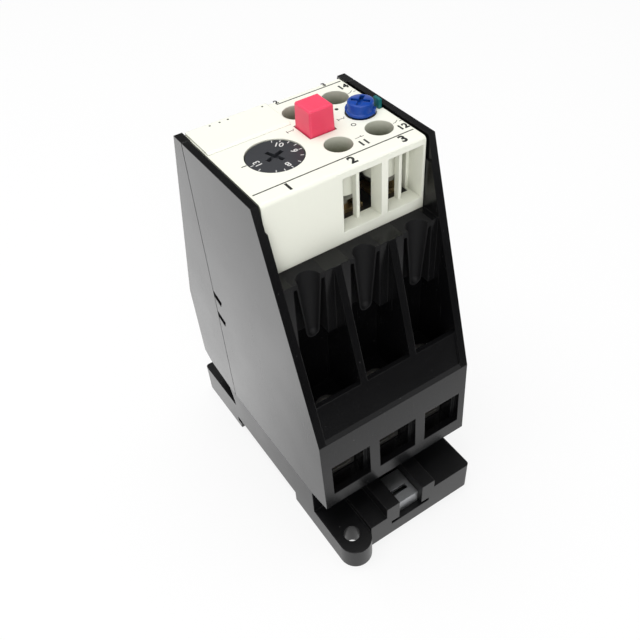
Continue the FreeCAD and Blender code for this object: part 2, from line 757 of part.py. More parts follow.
# Operating face
def cover_tubes():
    """Screw tubes, dial ring, plunger tube and button well under the cover roof."""
    tubes = []
    for x in aux_x:
        for y in (aux_near_y, aux_far_y):
            tubes.append(rod(aux_hole_radius + aux_tube_wall, (x, y), (aux_tube_low_z, cover_top_z - 0.5)))
    tubes.append(rod(dial_radius + 1.4, dial_centre, (cover_under_z - 1.8, cover_top_z - 0.5)))
    tubes.append(rod(well_radius + 0.7, reset_centre, (well_floor_z, cover_top_z - 0.5)))
    return tubes


def cell_walls():
    """The y range of the cell wall at each end of the cover, from its face inwards."""
    near = crown_near_y + 0.1
    far = crown_far_y - 0.2
    return ((near, near + cell_depth, 1), (far, far - cell_depth, -1))


def cell_blocks():
    """Solid blocks at both ends of the cover in which the wire cells are cut."""
    left = cell_spans[0][0] - cover_wall
    x = (left, cover_x - 0.5)
    return [block(x, (face, back), (shelf_z, cover_top_z - 0.5)) for face, back, _ in cell_walls()]


def cell_cuts():
    """Wire cells with a level floor, cut through both end walls."""
    cuts = []
    for face, back, inwards in cell_walls():
        for span in cell_spans:
            cuts.append(block(span, (face - inwards, back + inwards), (cell_floor_z, cell_high_z)))
    return cuts


def cell_ribs():
    """Thin upright dividers that part each window into two wire cells."""
    ribs = []
    for face, back, inwards in cell_walls():
        for low, high in cell_spans:
            middle = (low + high) / 2 + 0.5
            depth = (face + inwards * cell_rib_inset, back)
            ribs.append(block(around(middle, cell_rib / 2), depth, (cell_floor_z - 0.2, cell_high_z + 0.5)))
    return ribs


def arm_rails():
    """Two lipped rails under the roof that guide the setting arm."""
    y_low = dial_centre[1] - 1.5
    y_high = train_y + train_depth / 2 + 3.3
    low = cam_low_z - touch_gap
    rails = []
    for edge, sign in ((y_low, -1), (y_high, 1)):
        web = (edge + sign * slide_gap, edge + sign * (slide_gap + 1.0))
        lip = (edge - sign * 0.9, edge + sign * (slide_gap + 1.0))
        rails.append(block((-cover_x + 0.5, -14.8), web, (low - 1.4, cover_top_z - 0.5)))
        rails.append(block((-cover_x + 0.5, -14.8), lip, (low - 1.4, low - slide_gap)))
    return rails


def tray_rests():
    """Brackets behind both cell blocks that hold the tray."""
    rests = []
    for _, back, inwards in cell_walls():
        for x in (0.5, 12.5):
            y = (back - inwards * 0.2, back + inwards * 1.6)
            rests.append(block((x, x + 3.0), y, (shelf_z, tray_z)))
    return rests


def make_cover():
    """Pale cover: a rounded cap with its wells, tubes, windows and marking step."""
    y = (crown_near_y + 0.1, crown_far_y - 0.2)
    outer = block((-cover_x, cover_x), y, (shelf_z, cover_top_z))
    rounded = [e for e in outer.Edges if e.BoundBox.YLength < 0.01 and e.BoundBox.ZLength < 0.01
               and e.BoundBox.ZMin > cover_top_z - 0.01]
    outer = outer.makeFillet(1.0, rounded)
    inner = block(around(0, cover_x - cover_wall), (y[0] + cover_wall, y[1] - cover_wall),
                  (shelf_z - 1, cover_under_z))
    shell = trim(outer, [inner])
    step_top = cover_top_z + mark_rise
    step_y = (10.2, 11.0, 22.2)
    mark_step = prism_x([(step_y[0], cover_top_z - 0.2), (step_y[0], cover_top_z + 0.1),
                         (step_y[1], step_top), (step_y[2], step_top), (step_y[2], cover_top_z - 0.2)],
                        (-cover_x + 0.3, 0.4))
    shell = trim(join([shell, mark_step] + cell_blocks()), cell_cuts())
    shell = join([shell] + cover_tubes() + cell_ribs() + arm_rails() + tray_rests())
    half = test_width / 2 + slide_gap
    cuts = [
        rod(dial_radius + 0.15, dial_centre, (cover_top_z - dial_thick - 0.5, cover_top_z + 2)),
        rod(shaft_radius + turn_gap, dial_centre, (cover_under_z - 3, cover_top_z + 1)),
        block(around(test_centre[0], half), around(test_centre[1], half),
              (cover_under_z - 1, cover_top_z + 1)),
        rod(well_radius, reset_centre, (well_floor_z + well_floor_thick, cover_top_z + 1)),
        rod(plunger_radius + turn_gap, reset_centre, (well_floor_z - 1, well_floor_z + 2)),
        block((flag_x[0] - touch_gap, cover_x + 1), (flag_y[0] - seat_gap, flag_y[1] + seat_gap),
              (shelf_z - 1, cover_top_z + 1)),
    ]
    for x in aux_x:
        for ya in (aux_near_y, aux_far_y):
            cuts.append(rod(aux_hole_radius, (x, ya), (aux_tube_low_z - 1, cover_top_z + 2)))
    return trim(shell, cuts)


def make_dial():
    """Setting dial with a cross slot and the shaft that drives the cam."""
    top = cover_top_z - 0.2
    disc = chamfered_rod(dial_radius, dial_centre, (top - dial_thick, top), 0.2)
    shaft = rod(shaft_radius, dial_centre, (cam_low_z - 0.6, top - dial_thick + 0.3))
    x, y = dial_centre
    slots = []
    for angle in (20, 110):
        slot = block(around(0, 2.7), around(0, 0.6), (top - 1.0, top + 1))
        slot.rotate(Vec(0, 0, 0), Vec(0, 0, 1), angle)
        slot.translate(Vec(x, y, 0))
        slots.append(slot)
    return trim(join([disc, shaft]), slots)


def make_cam():
    """Spiral cam whose lift grows evenly with the dial angle."""
    count = 6
    x, y = dial_centre

    def rim(share):
        radius = cam_radius + cam_lift * share
        angle = math.radians(180 + cam_sweep_deg * share)
        return Vec(x + radius * math.cos(angle), y + radius * math.sin(angle), cam_low_z)

    arcs = [Part.Arc(rim(n / count), rim((n + 0.5) / count), rim((n + 1) / count)) for n in range(count)]
    back_angle = math.radians(180 + (cam_sweep_deg + 360) / 2)
    back = Vec(x + cam_radius * math.cos(back_angle), y + cam_radius * math.sin(back_angle), cam_low_z)
    arcs.append(Part.Arc(rim(1.0), back, rim(0.0)))
    outline = Part.Wire([arc.toShape() for arc in arcs])
    cam = Part.Face(outline).extrude(Vec(0, 0, cam_high_z - cam_low_z))
    return trim(cam, [rod(shaft_radius, dial_centre, (cam_low_z - 1, cam_high_z + 1))])


def make_test_button():
    """Square button with a slight draft, a retaining flange and a push stem."""
    half = test_width / 2
    low = cover_under_z - 0.3
    top = cover_top_z + test_height
    sections = []
    for z, reach in ((cover_top_z, half), (top, half - test_draft)):
        corners = [Vec(test_centre[0] + sx * reach, test_centre[1] + sy * reach, z)
                   for sx, sy in ((-1, -1), (1, -1), (1, 1), (-1, 1))]
        sections.append(Part.makePolygon(corners + corners[:1]))
    cap = Part.makeLoft(sections, True, True)
    cap = cap.makeChamfer(0.35, [e for e in cap.Edges if e.BoundBox.ZMax > cover_top_z + 1])
    neck = block(around(test_centre[0], half), around(test_centre[1], half), (low - 1.2, cover_top_z))
    flange = block(around(test_centre[0], half + 0.8), around(test_centre[1], half + 0.8), (low - 1.2, low))
    stem = rod(test_stem_radius, test_centre, (rocker_top_z + slide_gap + test_travel, low))
    return join([cap, neck, flange, stem])


def make_test_spring():
    low = strip_z + touch_gap
    high = cover_under_z - 0.3 - 1.2 - touch_gap
    return coil(test_coil_radius, spring_wire, high - low, 6, Vec(test_centre[0], test_centre[1], low))


def make_reset():
    """Round knob with a cross slot and two lugs, its plunger and the plunger's spring."""
    x, y = reset_centre
    top = cover_top_z + reset_height
    low = cover_top_z + 0.2
    peg = rod(1.2, reset_centre, (low - 0.5, low + 1.6))
    knob = chamfered_rod(reset_radius, reset_centre, (low, top), 0.35)
    collar = rod(reset_radius + 0.3, reset_centre, (low, low + 0.7))
    lugs = block(around(0, lug_reach), around(0, 0.8), (low, low + 1.2))
    lugs.translate(Vec(x, y, 0))
    slots = [block(around(x, 2.4), around(y, 0.4), (top - 0.9, top + 1)),
             block(around(x, 0.4), around(y, 2.4), (top - 0.9, top + 1))]
    knob = trim(join([knob, collar, lugs]), slots + [rod(1.2 + turn_gap, reset_centre, (low - 1, low + 1.7))])
    knob.rotate(Vec(x, y, 0), Vec(0, 0, 1), lug_angle_deg)
    collar_high = well_floor_z - touch_gap
    collar_low = collar_high - 1.2
    tip_z = rocker_top_z + rocker_rise + seat_gap + reset_travel
    plunger = join([
        peg,
        rod(plunger_radius, reset_centre, (collar_high - 0.5, low - turn_gap)),
        rod(plunger_collar_radius, reset_centre, (collar_low, collar_high)),
        rod(reset_stem_radius, reset_centre, (tip_z, collar_low + 0.5)),
    ])
    spring_low = strip_z + touch_gap
    spring = coil(reset_coil_radius, spring_wire, collar_low - touch_gap - spring_low, 5,
                  Vec(x, y, spring_low))
    return {"reset_knob": knob, "reset_plunger": plunger, "reset_spring": spring}


def make_flag():
    """Trip indicator that stands on the end of the rocker."""
    low = rocker_top_z - flag_seat_drop + slide_gap
    head = block(flag_x, flag_y, (low + 1.0, cover_top_z + flag_height))
    top = [e for e in head.Edges if e.BoundBox.ZMin > cover_top_z + flag_height - 0.01]
    head = head.makeChamfer(0.25, top)
    foot = block((flag_x[0] - 1.1, flag_x[1]), flag_y, (low, low + 1.4))
    return join([head, foot])


def all_parts():
    """Every piece by its node name."""
    parts = make_housing()
    parts["front_cover"] = make_cover()
    parts["mounting_base"] = make_base()
    parts.update(make_latch())
    for n, x in enumerate(poles, 1):
        parts[f"load_cage_{n}"] = make_cage(near_side, x)
        parts[f"load_screw_{n}"] = make_main_screw(near_side, x)
        parts[f"load_busbar_{n}"] = make_load_busbar(x)
        parts[f"line_cage_{n}"] = make_cage(far_side, x)
        parts[f"line_screw_{n}"] = make_main_screw(far_side, x)
        parts[f"line_busbar_{n}"] = make_line_busbar(x)
        parts[f"bimetal_{n}"] = make_bimetal(x)
        parts[f"heater_{n}"] = make_heater(x)
    parts["trip_slide"] = make_trip_slide()
    parts["release_lever"] = make_release_lever()
    parts["lever_pin"] = make_lever_pin()
    parts["setting_arm"] = make_setting_arm()
    parts["contact_rocker"] = make_rocker()
    parts["rocker_pin"] = make_rocker_pin()
    parts["terminal_tray"] = make_tray()
    parts["nc_bridge"] = make_bridge(nc_bridge_x, rocker_top_z + 1.0)
    parts["no_bridge"] = make_bridge(no_bridge_x, rocker_top_z - flag_seat_drop)
    for number, x, sign, bridge_x in ((96, aux_x[0], -1, nc_bridge_x), (98, aux_x[1], -1, no_bridge_x),
                                      (95, aux_x[0], 1, nc_bridge_x), (97, aux_x[1], 1, no_bridge_x)):
        y = aux_near_y if sign < 0 else aux_far_y
        parts[f"contact_strip_{number}"] = make_contact_strip(x, sign, bridge_x)
        parts[f"aux_screw_{number}"] = make_aux_screw(x, y)
        parts[f"aux_saddle_{number}"] = make_aux_saddle(x, y)
    parts["current_dial"] = make_dial()
    parts["dial_cam"] = make_cam()
    parts["test_button"] = make_test_button()
    parts["test_spring"] = make_test_spring()
    parts.update(make_reset())
    parts["trip_indicator"] = make_flag()
    return parts


def main():
    os.makedirs("parts", exist_ok=True)
    for name, shape in all_parts().items():
        solid = shape.Solids[0] if len(shape.Solids) == 1 else shape
        print(name, len(shape.Solids), "solids, valid", solid.isValid(), "volume", round(solid.Volume, 1))
        solid.exportStep(f"parts/{name}.step")


main()
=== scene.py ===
"""Dresses a thermal overload relay: finishes, printed marks, studio light and camera."""

import json
import logging
import math
from dataclasses import dataclass
from enum import Enum
from typing import Any, Optional, Union

import bmesh
import bpy
from mathutils import Matrix, Vector


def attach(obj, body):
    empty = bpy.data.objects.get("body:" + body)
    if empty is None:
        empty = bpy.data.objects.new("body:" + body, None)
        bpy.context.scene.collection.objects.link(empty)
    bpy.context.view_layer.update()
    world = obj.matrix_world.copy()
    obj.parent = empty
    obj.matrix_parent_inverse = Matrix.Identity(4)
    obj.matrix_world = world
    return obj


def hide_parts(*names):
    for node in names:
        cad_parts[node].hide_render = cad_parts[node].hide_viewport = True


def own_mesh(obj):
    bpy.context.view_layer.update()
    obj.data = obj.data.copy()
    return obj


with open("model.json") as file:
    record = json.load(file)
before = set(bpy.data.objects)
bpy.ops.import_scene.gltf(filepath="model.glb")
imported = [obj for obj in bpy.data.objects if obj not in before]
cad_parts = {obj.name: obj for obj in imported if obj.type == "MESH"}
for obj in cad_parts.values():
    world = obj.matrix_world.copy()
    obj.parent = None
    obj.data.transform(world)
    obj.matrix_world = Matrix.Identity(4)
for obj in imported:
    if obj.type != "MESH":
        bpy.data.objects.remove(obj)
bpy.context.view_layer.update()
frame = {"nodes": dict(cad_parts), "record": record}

LOG = logging.getLogger("relay")
MM = 0.001

FLAT_NOISE = 0.5  # the middle of a noise value, which changes nothing
CLOUD_SCALE = 0.07  # slow tone changes, in features per millimetre
PATCH_SCALE = 0.9  # handling patches, in features per millimetre
EDGE_GAIN = 6.0  # how fast the edge mask rises as a bevelled normal turns away
MERGE = 1e-5  # doubles in a mesh that is still in millimetres
SLIVER = 2e-3  # slivers that a cut leaves, in millimetres

Colour = tuple[float, float, float]
Triple = tuple[float, float, float]
Point = tuple[float, float]
Span = tuple[float, float]


def linked(name: str, data: bpy.types.ID) -> bpy.types.Object:
    """New object in the scene."""
    made = bpy.data.objects.new(name, data)
    bpy.context.scene.collection.objects.link(made)
    return made


class Socket:
    """One shader value whose arithmetic adds Math nodes to its graph."""

    def __init__(self, graph: "Graph", output: bpy.types.NodeSocket) -> None:
        """Keeps the graph and the output that carries the value."""
        self.graph = graph
        self.output = output

    def _math(self, operation: str, first: Any, second: Any, clamp: bool = False) -> "Socket":
        """Adds one Math node.

        Args:
            operation: The Math node's operation.
            first: The left value or socket.
            second: The right value or socket.
            clamp: Whether the result stays between 0 and 1.

        Returns:
            The result's socket.
        """
        settings = {"operation": operation, "use_clamp": clamp}
        return self.graph.node("ShaderNodeMath", settings, {0: first, 1: second})

    def __add__(self, other: Any) -> "Socket":
        """Sum with a value or socket."""
        return self._math("ADD", self, other)

    def __radd__(self, other: Any) -> "Socket":
        """Sum with the value first."""
        return self._math("ADD", other, self)

    def __sub__(self, other: Any) -> "Socket":
        """Difference to a value or socket."""
        return self._math("SUBTRACT", self, other)

    def __rsub__(self, other: Any) -> "Socket":
        """Difference with the value first."""
        return self._math("SUBTRACT", other, self)

    def __mul__(self, other: Any) -> "Socket":
        """Product with a value or socket."""
        return self._math("MULTIPLY", self, other)

    def __rmul__(self, other: Any) -> "Socket":
        """Product with the value first."""
        return self._math("MULTIPLY", other, self)

    def __gt__(self, other: Any) -> "Socket":
        """1 where the socket is above the other value."""
        return self._math("GREATER_THAN", self, other)

    def __lt__(self, other: Any) -> "Socket":
        """1 where the socket is below the other value."""
        return self._math("LESS_THAN", self, other)

    def clamped(self) -> "Socket":
        """The value held between 0 and 1."""
        return self._math("ADD", self, 0.0, clamp=True)

    def ramp(self, low: float, high: float) -> "Socket":
        """Smooth rise from 0 at low to 1 at high."""
        return self.graph.node("ShaderNodeMapRange", {"interpolation_type": "SMOOTHSTEP"},
                               {"Value": self, "From Min": low, "From Max": high})


class Graph:
    """Node tree of one material or world."""

    def __init__(self, owner: Union[bpy.types.Material, bpy.types.World]) -> None:
        """Empties the owner's node tree."""
        owner.use_nodes = True
        self.tree = owner.node_tree
        self.tree.nodes.clear()

    def node(self, kind: str, settings: Optional[dict] = None, inputs: Optional[dict] = None,
             output: Union[int, str] = 0) -> Socket:
        """Adds one node.

        Args:
            kind: The node's type name.
            settings: Properties that are set first.
            inputs: Values or sockets by input name or number.
            output: Which output to return.

        Returns:
            The chosen output as a socket.
        """
        made = self.tree.nodes.new(kind)
        for key, value in (settings or {}).items():
            setattr(made, key, value)
        for key, value in (inputs or {}).items():
            if isinstance(value, Socket):
                self.tree.links.new(value.output, made.inputs[key])
            else:
                made.inputs[key].default_value = value
        return Socket(self, made.outputs[output])

    def close(self, surface: Socket, kind: str = "ShaderNodeOutputMaterial") -> None:
        """Ends the tree with an output node fed by a shader."""
        made = self.tree.nodes.new(kind)
        self.tree.links.new(surface.output, made.inputs["Surface"])

    def millimetres(self, stretch: Triple = (1.0, 1.0, 1.0)) -> Socket:
        """Object coordinates in millimetres, stretched along the axes."""
        place = self.node("ShaderNodeTexCoord", output="Object")
        scale = tuple(share / MM for share in stretch)
        return self.node("ShaderNodeMapping", {"vector_type": "POINT"}, {"Vector": place, "Scale": scale})

    def part(self, place: Socket, axis: int) -> Socket:
        """One coordinate of a place, with 0, 1 and 2 for X, Y and Z."""
        return self.node("ShaderNodeSeparateXYZ", None, {"Vector": place}, axis)

    def noise(self, place: Socket, scale: float, detail: float = 2.0, rough: float = 0.5) -> Socket:
        """Noise value from 0 to 1 with a scale in features per millimetre."""
        return self.node("ShaderNodeTexNoise", None,
                         {"Vector": place, "Scale": scale, "Detail": detail, "Roughness": rough}, "Fac")

    def blend(self, factor: Any, first: Any, second: Any) -> Socket:
        """Colour mix from first to second by a factor."""
        pair = [(*c, 1.0) if isinstance(c, tuple) else c for c in (first, second)]
        return self.node("ShaderNodeMix", {"data_type": "RGBA"}, {0: factor, 6: pair[0], 7: pair[1]}, 2)

    def rounded(self, radius: float, samples: int = 6) -> Socket:
        """Normal that rounds sharp edges by a radius in millimetres."""
        return self.node("ShaderNodeBevel", {"samples": samples}, {"Radius": radius * MM})

    def edge_mask(self, bevelled: Socket) -> Socket:
        """0 on flat faces, rising to 1 on the edges that a bevelled normal rounds."""
        true = self.node("ShaderNodeNewGeometry", output="Normal")
        dot = self.node("ShaderNodeVectorMath", {"operation": "DOT_PRODUCT"}, {0: bevelled, 1: true}, "Value")
        return ((1.0 - dot) * EDGE_GAIN).clamped()

    def bump(self, height: Socket, depth: float, normal: Socket) -> Socket:
        """Normal with a height of up to a depth in millimetres."""
        return self.node("ShaderNodeBump", None,
                         {"Height": height, "Distance": depth * MM, "Normal": normal, "Strength": 1.0})


class Slot(Enum):
    """Material slots of the record."""

    HOUSING = "housing"
    COVER = "cover"
    BASE = "base"
    LATCH = "latch"
    SPRING = "spring"
    CAGE = "cage"
    SCREW = "screw"
    BUSBAR = "busbar"
    BIMETAL = "bimetal"
    HEATER = "heater"
    INNER_PLASTIC = "inner_plastic"
    TRAY = "tray"
    PIN = "pin"
    CONTACT = "contact"
    DIAL = "dial"
    RED = "red"
    BLUE = "blue"
    PLUNGER = "plunger"
    GREEN = "green"


@dataclass(frozen=True)
class MouldedPlastic:
    """Moulded plastic with fine grain, slow tone changes, rubbed edges that are partly a painted highlight,
    dust, painted shade in recesses and holes, and painted light on the driver guides.

    A field that ends in matt or gloss says how much its part adds to the roughness or takes from it.
    """

    name: str
    tint: Colour
    edge_tint: Colour
    roughness: float
    tone: float = 0.06
    grain_depth: float = 0.012
    grain_scale: float = 2.6
    edge_radius: float = 0.22
    # Edges lightened towards edge_tint: partly rubbed wear, partly a painted highlight on the rounded edges.
    wear_and_highlight: float = 0.5
    wear_and_highlight_base: float = 0.35
    wear_and_highlight_patch: float = 0.9
    patch_bump: float = 0.5
    cloud_matt: float = 0.10
    grain_matt: float = 0.06
    edge_gloss: float = 0.06
    dust: float = 0.0
    dust_tint: Colour = (0.30, 0.30, 0.29)
    speck_scale: float = 0.42
    speck_size: float = 0.045
    speck_spread: float = 0.2
    speck_bar: float = 0.45
    speck_matt: float = 0.3
    scuff_turn: Triple = (0.3, 0.12, 0.05)
    scuff_stretch: Triple = (2.4, 2.4, 0.10)
    scuff_ramp: Span = (0.66, 0.74)
    scuff_share: float = 0.06
    scuff_matt: float = 0.03
    specular: float = 0.5
    subsurface: float = 0.0
    glow_radius: Colour = (1.0, 0.3, 0.2)
    glow_depth: float = 1.2
    # Painted shade: recesses and screw holes are darkened in the colour, and the holes get darker towards
    # their bottoms.
    recess_shade: float = 0.0
    shade_reach: float = 5.0
    shade_share: Colour = (0.17, 0.18, 0.11)
    shade_ramp: Span = (0.35, 0.95)
    shade_base: float = 0.85
    shade_patch: float = 0.3
    hole_centres: tuple[Point, ...] = ()
    hole_radius: float = 3.75
    hole_top: float = 110.95
    hole_depth: float = 6.5
    hole_shade: Span = (0.32, 0.95)
    # Driver guides in the screw bays: rougher, and their colour lifted as painted light.
    lit_matt_rows: tuple[float, ...] = ()
    lit_matt_reach: float = 4.5
    lit_matt_span: Span = (71.0, 92.8)
    painted_light_gain: float = 1.4
    guide_matt: float = 0.42

    def build(self) -> bpy.types.Material:
        """Makes the material."""
        material = bpy.data.materials.new(self.name)
        graph = Graph(material)
        place = graph.millimetres()
        bevelled = graph.rounded(self.edge_radius)
        edge = graph.edge_mask(bevelled)
        cloud = graph.noise(place, CLOUD_SCALE, detail=3.0)
        patch = graph.noise(place, PATCH_SCALE, detail=4.0, rough=0.6)
        grain = graph.noise(place, self.grain_scale, detail=3.0, rough=0.6)
        tone = 1.0 + (cloud - FLAT_NOISE) * (2 * self.tone) + (patch - FLAT_NOISE) * self.tone
        flat = graph.node("ShaderNodeVectorMath", {"operation": "SCALE"}, {0: self.tint, "Scale": tone})
        # Edges lightened towards edge_tint: partly rubbed wear, partly a painted highlight.
        rubbed_and_lit = (edge * (self.wear_and_highlight_base + patch * self.wear_and_highlight_patch)).clamped() * self.wear_and_highlight
        colour = graph.blend(rubbed_and_lit, flat, self.edge_tint)
        rough = self.roughness + (cloud - FLAT_NOISE) * self.cloud_matt
        rough = rough + (grain - FLAT_NOISE) * self.grain_matt - edge * self.edge_gloss
        if self.dust > 0:
            speck = self._specks(graph, place)
            scuff = self._scuffs(graph, place)
            settled = (speck + scuff * self.scuff_share).clamped() * self.dust
            colour = graph.blend(settled, colour, self.dust_tint)
            rough = rough + speck * self.speck_matt + scuff * self.scuff_matt
        # Painted shade: the colour is darkened in recesses and down the screw holes.
        if self.recess_shade > 0:
            colour = self._painted_shade(graph, colour, place, patch)
        # Painted light: the driver guides' colour is lifted above the tint; their roughness is raised too.
        if self.lit_matt_rows:
            matt_and_lit = self._matt_and_painted_light(graph, place)
            colour = graph.blend(matt_and_lit, colour, tuple(c * self.painted_light_gain for c in self.tint))
            rough = rough + matt_and_lit * self.guide_matt
        normal = graph.bump(grain + patch * self.patch_bump, self.grain_depth, bevelled)
        shader = graph.node("ShaderNodeBsdfPrincipled", None, {
            "Base Color": colour, "Roughness": rough.clamped(), "Normal": normal,
            "Specular IOR Level": self.specular, "Subsurface Weight": self.subsurface,
            "Subsurface Radius": self.glow_radius, "Subsurface Scale": self.glow_depth * MM})
        graph.close(shader)
        return material

    def _matt_and_painted_light(self, graph: Graph, place: Socket) -> Socket:
        """Mask of the driver guides in the screw bays, which are rougher and whose colour is lifted as
        painted light.
        """
        x, z = graph.part(place, 0), graph.part(place, 2)
        low, high = self.lit_matt_span
        columns = [(x > row - self.lit_matt_reach) * (x < row + self.lit_matt_reach) for row in self.lit_matt_rows]
        return (sum(columns[1:], columns[0]) * (z > low) * (z < high)).clamped()

    def _painted_shade(self, graph: Graph, colour: Socket, place: Socket, patch: Socket) -> Socket:
        """Colour darkened by painted shade in corners, slots and screw holes, darker deeper in the holes."""
        reached = {"Distance": self.shade_reach * MM}
        open_share = graph.node("ShaderNodeAmbientOcclusion", {"samples": 8}, reached, "AO")
        shade_amount = (1.0 - open_share).ramp(*self.shade_ramp) * self.recess_shade
        x, y, z = (graph.part(place, axis) for axis in range(3))
        rim, gain = self.hole_shade
        for centre_x, centre_y in self.hole_centres:
            flat = graph.node("ShaderNodeCombineXYZ", None, {"X": x - centre_x, "Y": y - centre_y})
            reach = graph.node("ShaderNodeVectorMath", {"operation": "LENGTH"}, {0: flat}, "Value")
            sunk = ((self.hole_top - z) * (1 / self.hole_depth)).clamped()
            shade_amount = shade_amount + (reach < self.hole_radius) * (z < self.hole_top) * (sunk * gain + rim)
        shade = tuple(c * share for c, share in zip(self.tint, self.shade_share))
        return graph.blend((shade_amount * (self.shade_base + patch * self.shade_patch)).clamped(), colour, shade)

    def _specks(self, graph: Graph, place: Socket) -> Socket:
        """Sparse round dust specks."""
        cells = {"Vector": place, "Scale": self.speck_scale}
        near = graph.node("ShaderNodeTexVoronoi", None, cells, "Distance")
        pick = graph.node("ShaderNodeTexVoronoi", None, cells, "Color")
        lottery = graph.node("ShaderNodeSeparateColor", None, {"Color": pick}, 0)
        return (near < self.speck_size * (lottery + self.speck_spread)) * (lottery > self.speck_bar)

    def _scuffs(self, graph: Graph, place: Socket) -> Socket:
        """Thin handling scuffs that run mostly upwards."""
        drawn = graph.node("ShaderNodeMapping", None,
                           {"Vector": place, "Rotation": self.scuff_turn, "Scale": self.scuff_stretch})
        return graph.noise(drawn, 1.0).ramp(*self.scuff_ramp)


@dataclass(frozen=True)
class PlatedMetal:
    """Plated or rolled metal with fine drawn lines, dull patches and brighter edges."""

    name: str
    tint: Colour
    dull_tint: Colour
    roughness: float
    grain: Triple = (1.0, 1.0, 0.08)
    grain_depth: float = 0.006
    edge_radius: float = 0.12
    tarnish: float = 0.35
    drawn_scale: float = 5.0
    cloud_scale: float = 0.35
    cloud_ramp: Span = (0.42, 0.75)
    spot_scale: float = 2.0
    spot_ramp: Span = (0.55, 0.75)
    spot_share: float = 0.4
    edge_clean: float = 0.7
    drawn_matt: float = 0.16
    dull_matt: float = 0.25
    edge_gloss: float = 0.08

    def build(self) -> bpy.types.Material:
        """Makes the material."""
        material = bpy.data.materials.new(self.name)
        graph = Graph(material)
        place = graph.millimetres()
        bevelled = graph.rounded(self.edge_radius, 4)
        edge = graph.edge_mask(bevelled)
        drawn = graph.noise(graph.millimetres(self.grain), self.drawn_scale, detail=3.0, rough=0.6)
        cloud = graph.noise(place, self.cloud_scale, detail=4.0, rough=0.6).ramp(*self.cloud_ramp)
        spots = graph.noise(place, self.spot_scale, detail=3.0).ramp(*self.spot_ramp)
        dull = (cloud + spots * self.spot_share) * self.tarnish * (1.0 - edge * self.edge_clean)
        dull = dull.clamped()
        colour = graph.blend(dull, self.tint, self.dull_tint)
        rough = self.roughness + (drawn - FLAT_NOISE) * self.drawn_matt + dull * self.dull_matt
        rough = (rough - edge * self.edge_gloss).clamped()
        normal = graph.bump(drawn, self.grain_depth, bevelled)
        shader = graph.node("ShaderNodeBsdfPrincipled", None, {
            "Base Color": colour, "Roughness": rough, "Metallic": 1.0, "Normal": normal})
        graph.close(shader)
        return material


@dataclass(frozen=True)
class PrintedInk:
    """Printed or filled mark with slightly uneven cover."""

    name: str
    tint: Colour
    pale: Colour
    roughness: float = 0.5
    specular: float = 0.35
    wear_scale: float = 5.0
    wear_ramp: Span = (0.56, 0.8)
    wear_share: float = 0.45
    wear_matt: float = 0.15

    def build(self) -> bpy.types.Material:
        """Makes the material."""
        material = bpy.data.materials.new(self.name)
        graph = Graph(material)
        worn = graph.noise(graph.millimetres(), self.wear_scale, detail=3.0, rough=0.65).ramp(*self.wear_ramp)
        colour = graph.blend(worn * self.wear_share, self.tint, self.pale)
        rough = self.roughness + worn * self.wear_matt
        shader = graph.node("ShaderNodeBsdfPrincipled", None, {
            "Base Color": colour, "Roughness": rough, "Specular IOR Level": self.specular})
        graph.close(shader)
        return material


AUX_PLACES = {96: (4.4, -4.35), 98: (16.2, -4.35), 95: (4.4, 14.35), 97: (16.2, 14.35)}
POLE_ROWS = (-15.65, 0.35, 16.35)
DIAL_CENTRE = (-9.8, 0.9)
DIAL_RADIUS = 7.05

BLACK_PLASTIC = MouldedPlastic("black_thermoset", (0.0032, 0.0032, 0.0036), (0.03, 0.03, 0.03), 0.24,
                               tone=0.25, dust=0.25, wear_and_highlight=0.15, specular=0.3, lit_matt_rows=POLE_ROWS)
BASE_PLASTIC = MouldedPlastic("black_base_moulding", (0.0032, 0.0032, 0.0036), (0.035, 0.035, 0.035), 0.34,
                              tone=0.25, dust=0.35, wear_and_highlight=0.4, edge_radius=0.3, specular=0.33)
CREAM_PLASTIC = MouldedPlastic("cream_moulding", (0.83, 0.84, 0.74), (0.88, 0.88, 0.82), 0.46,
                               tone=0.02, grain_depth=0.008, wear_and_highlight=0.5, edge_radius=0.3,
                               dust=0.18, dust_tint=(0.45, 0.44, 0.38), specular=0.4,
                               recess_shade=0.75, hole_centres=tuple(AUX_PLACES.values()))
DIAL_PLASTIC = MouldedPlastic("dark_dial_plastic", (0.026, 0.028, 0.033), (0.09, 0.09, 0.10), 0.42,
                              tone=0.15, dust=0.2, edge_radius=0.15, recess_shade=0.8, shade_reach=1.2)
RED_PLASTIC = MouldedPlastic("red_button_plastic", (0.82, 0.062, 0.130), (0.93, 0.18, 0.27), 0.33,
                             tone=0.04, grain_depth=0.005, edge_radius=0.5, wear_and_highlight=0.6, specular=0.3,
                             subsurface=0.22, glow_radius=(1.0, 0.25, 0.25))
BLUE_PLASTIC = MouldedPlastic("blue_knob_plastic", (0.002, 0.050, 0.32), (0.02, 0.12, 0.50), 0.32,
                              tone=0.08, grain_depth=0.006, edge_radius=0.22, wear_and_highlight=0.5,
                              recess_shade=0.85, shade_reach=1.3, specular=0.35)
PLUNGER_PLASTIC = MouldedPlastic("dark_blue_plastic", (0.006, 0.020, 0.13), (0.02, 0.06, 0.25), 0.42,
                                 tone=0.08)
GREEN_PLASTIC = MouldedPlastic("green_flag_plastic", (0.004, 0.125, 0.13), (0.03, 0.24, 0.25), 0.36,
                               tone=0.08, edge_radius=0.15)
TRAY_PLASTIC = MouldedPlastic("black_tray_moulding", (0.006, 0.006, 0.0065), (0.035, 0.035, 0.035), 0.45,
                              tone=0.2, dust=0.2, wear_and_highlight=0.4)
NATURAL_PLASTIC = MouldedPlastic("natural_inner_plastic", (0.66, 0.60, 0.46), (0.78, 0.73, 0.60), 0.50,
                                 tone=0.05, dust=0.2, dust_tint=(0.25, 0.22, 0.17))
LATCH_STEEL = PlatedMetal("latch_sheet_steel", (0.44, 0.45, 0.46), (0.25, 0.25, 0.245), 0.38,
                          grain=(1.0, 0.08, 1.0))
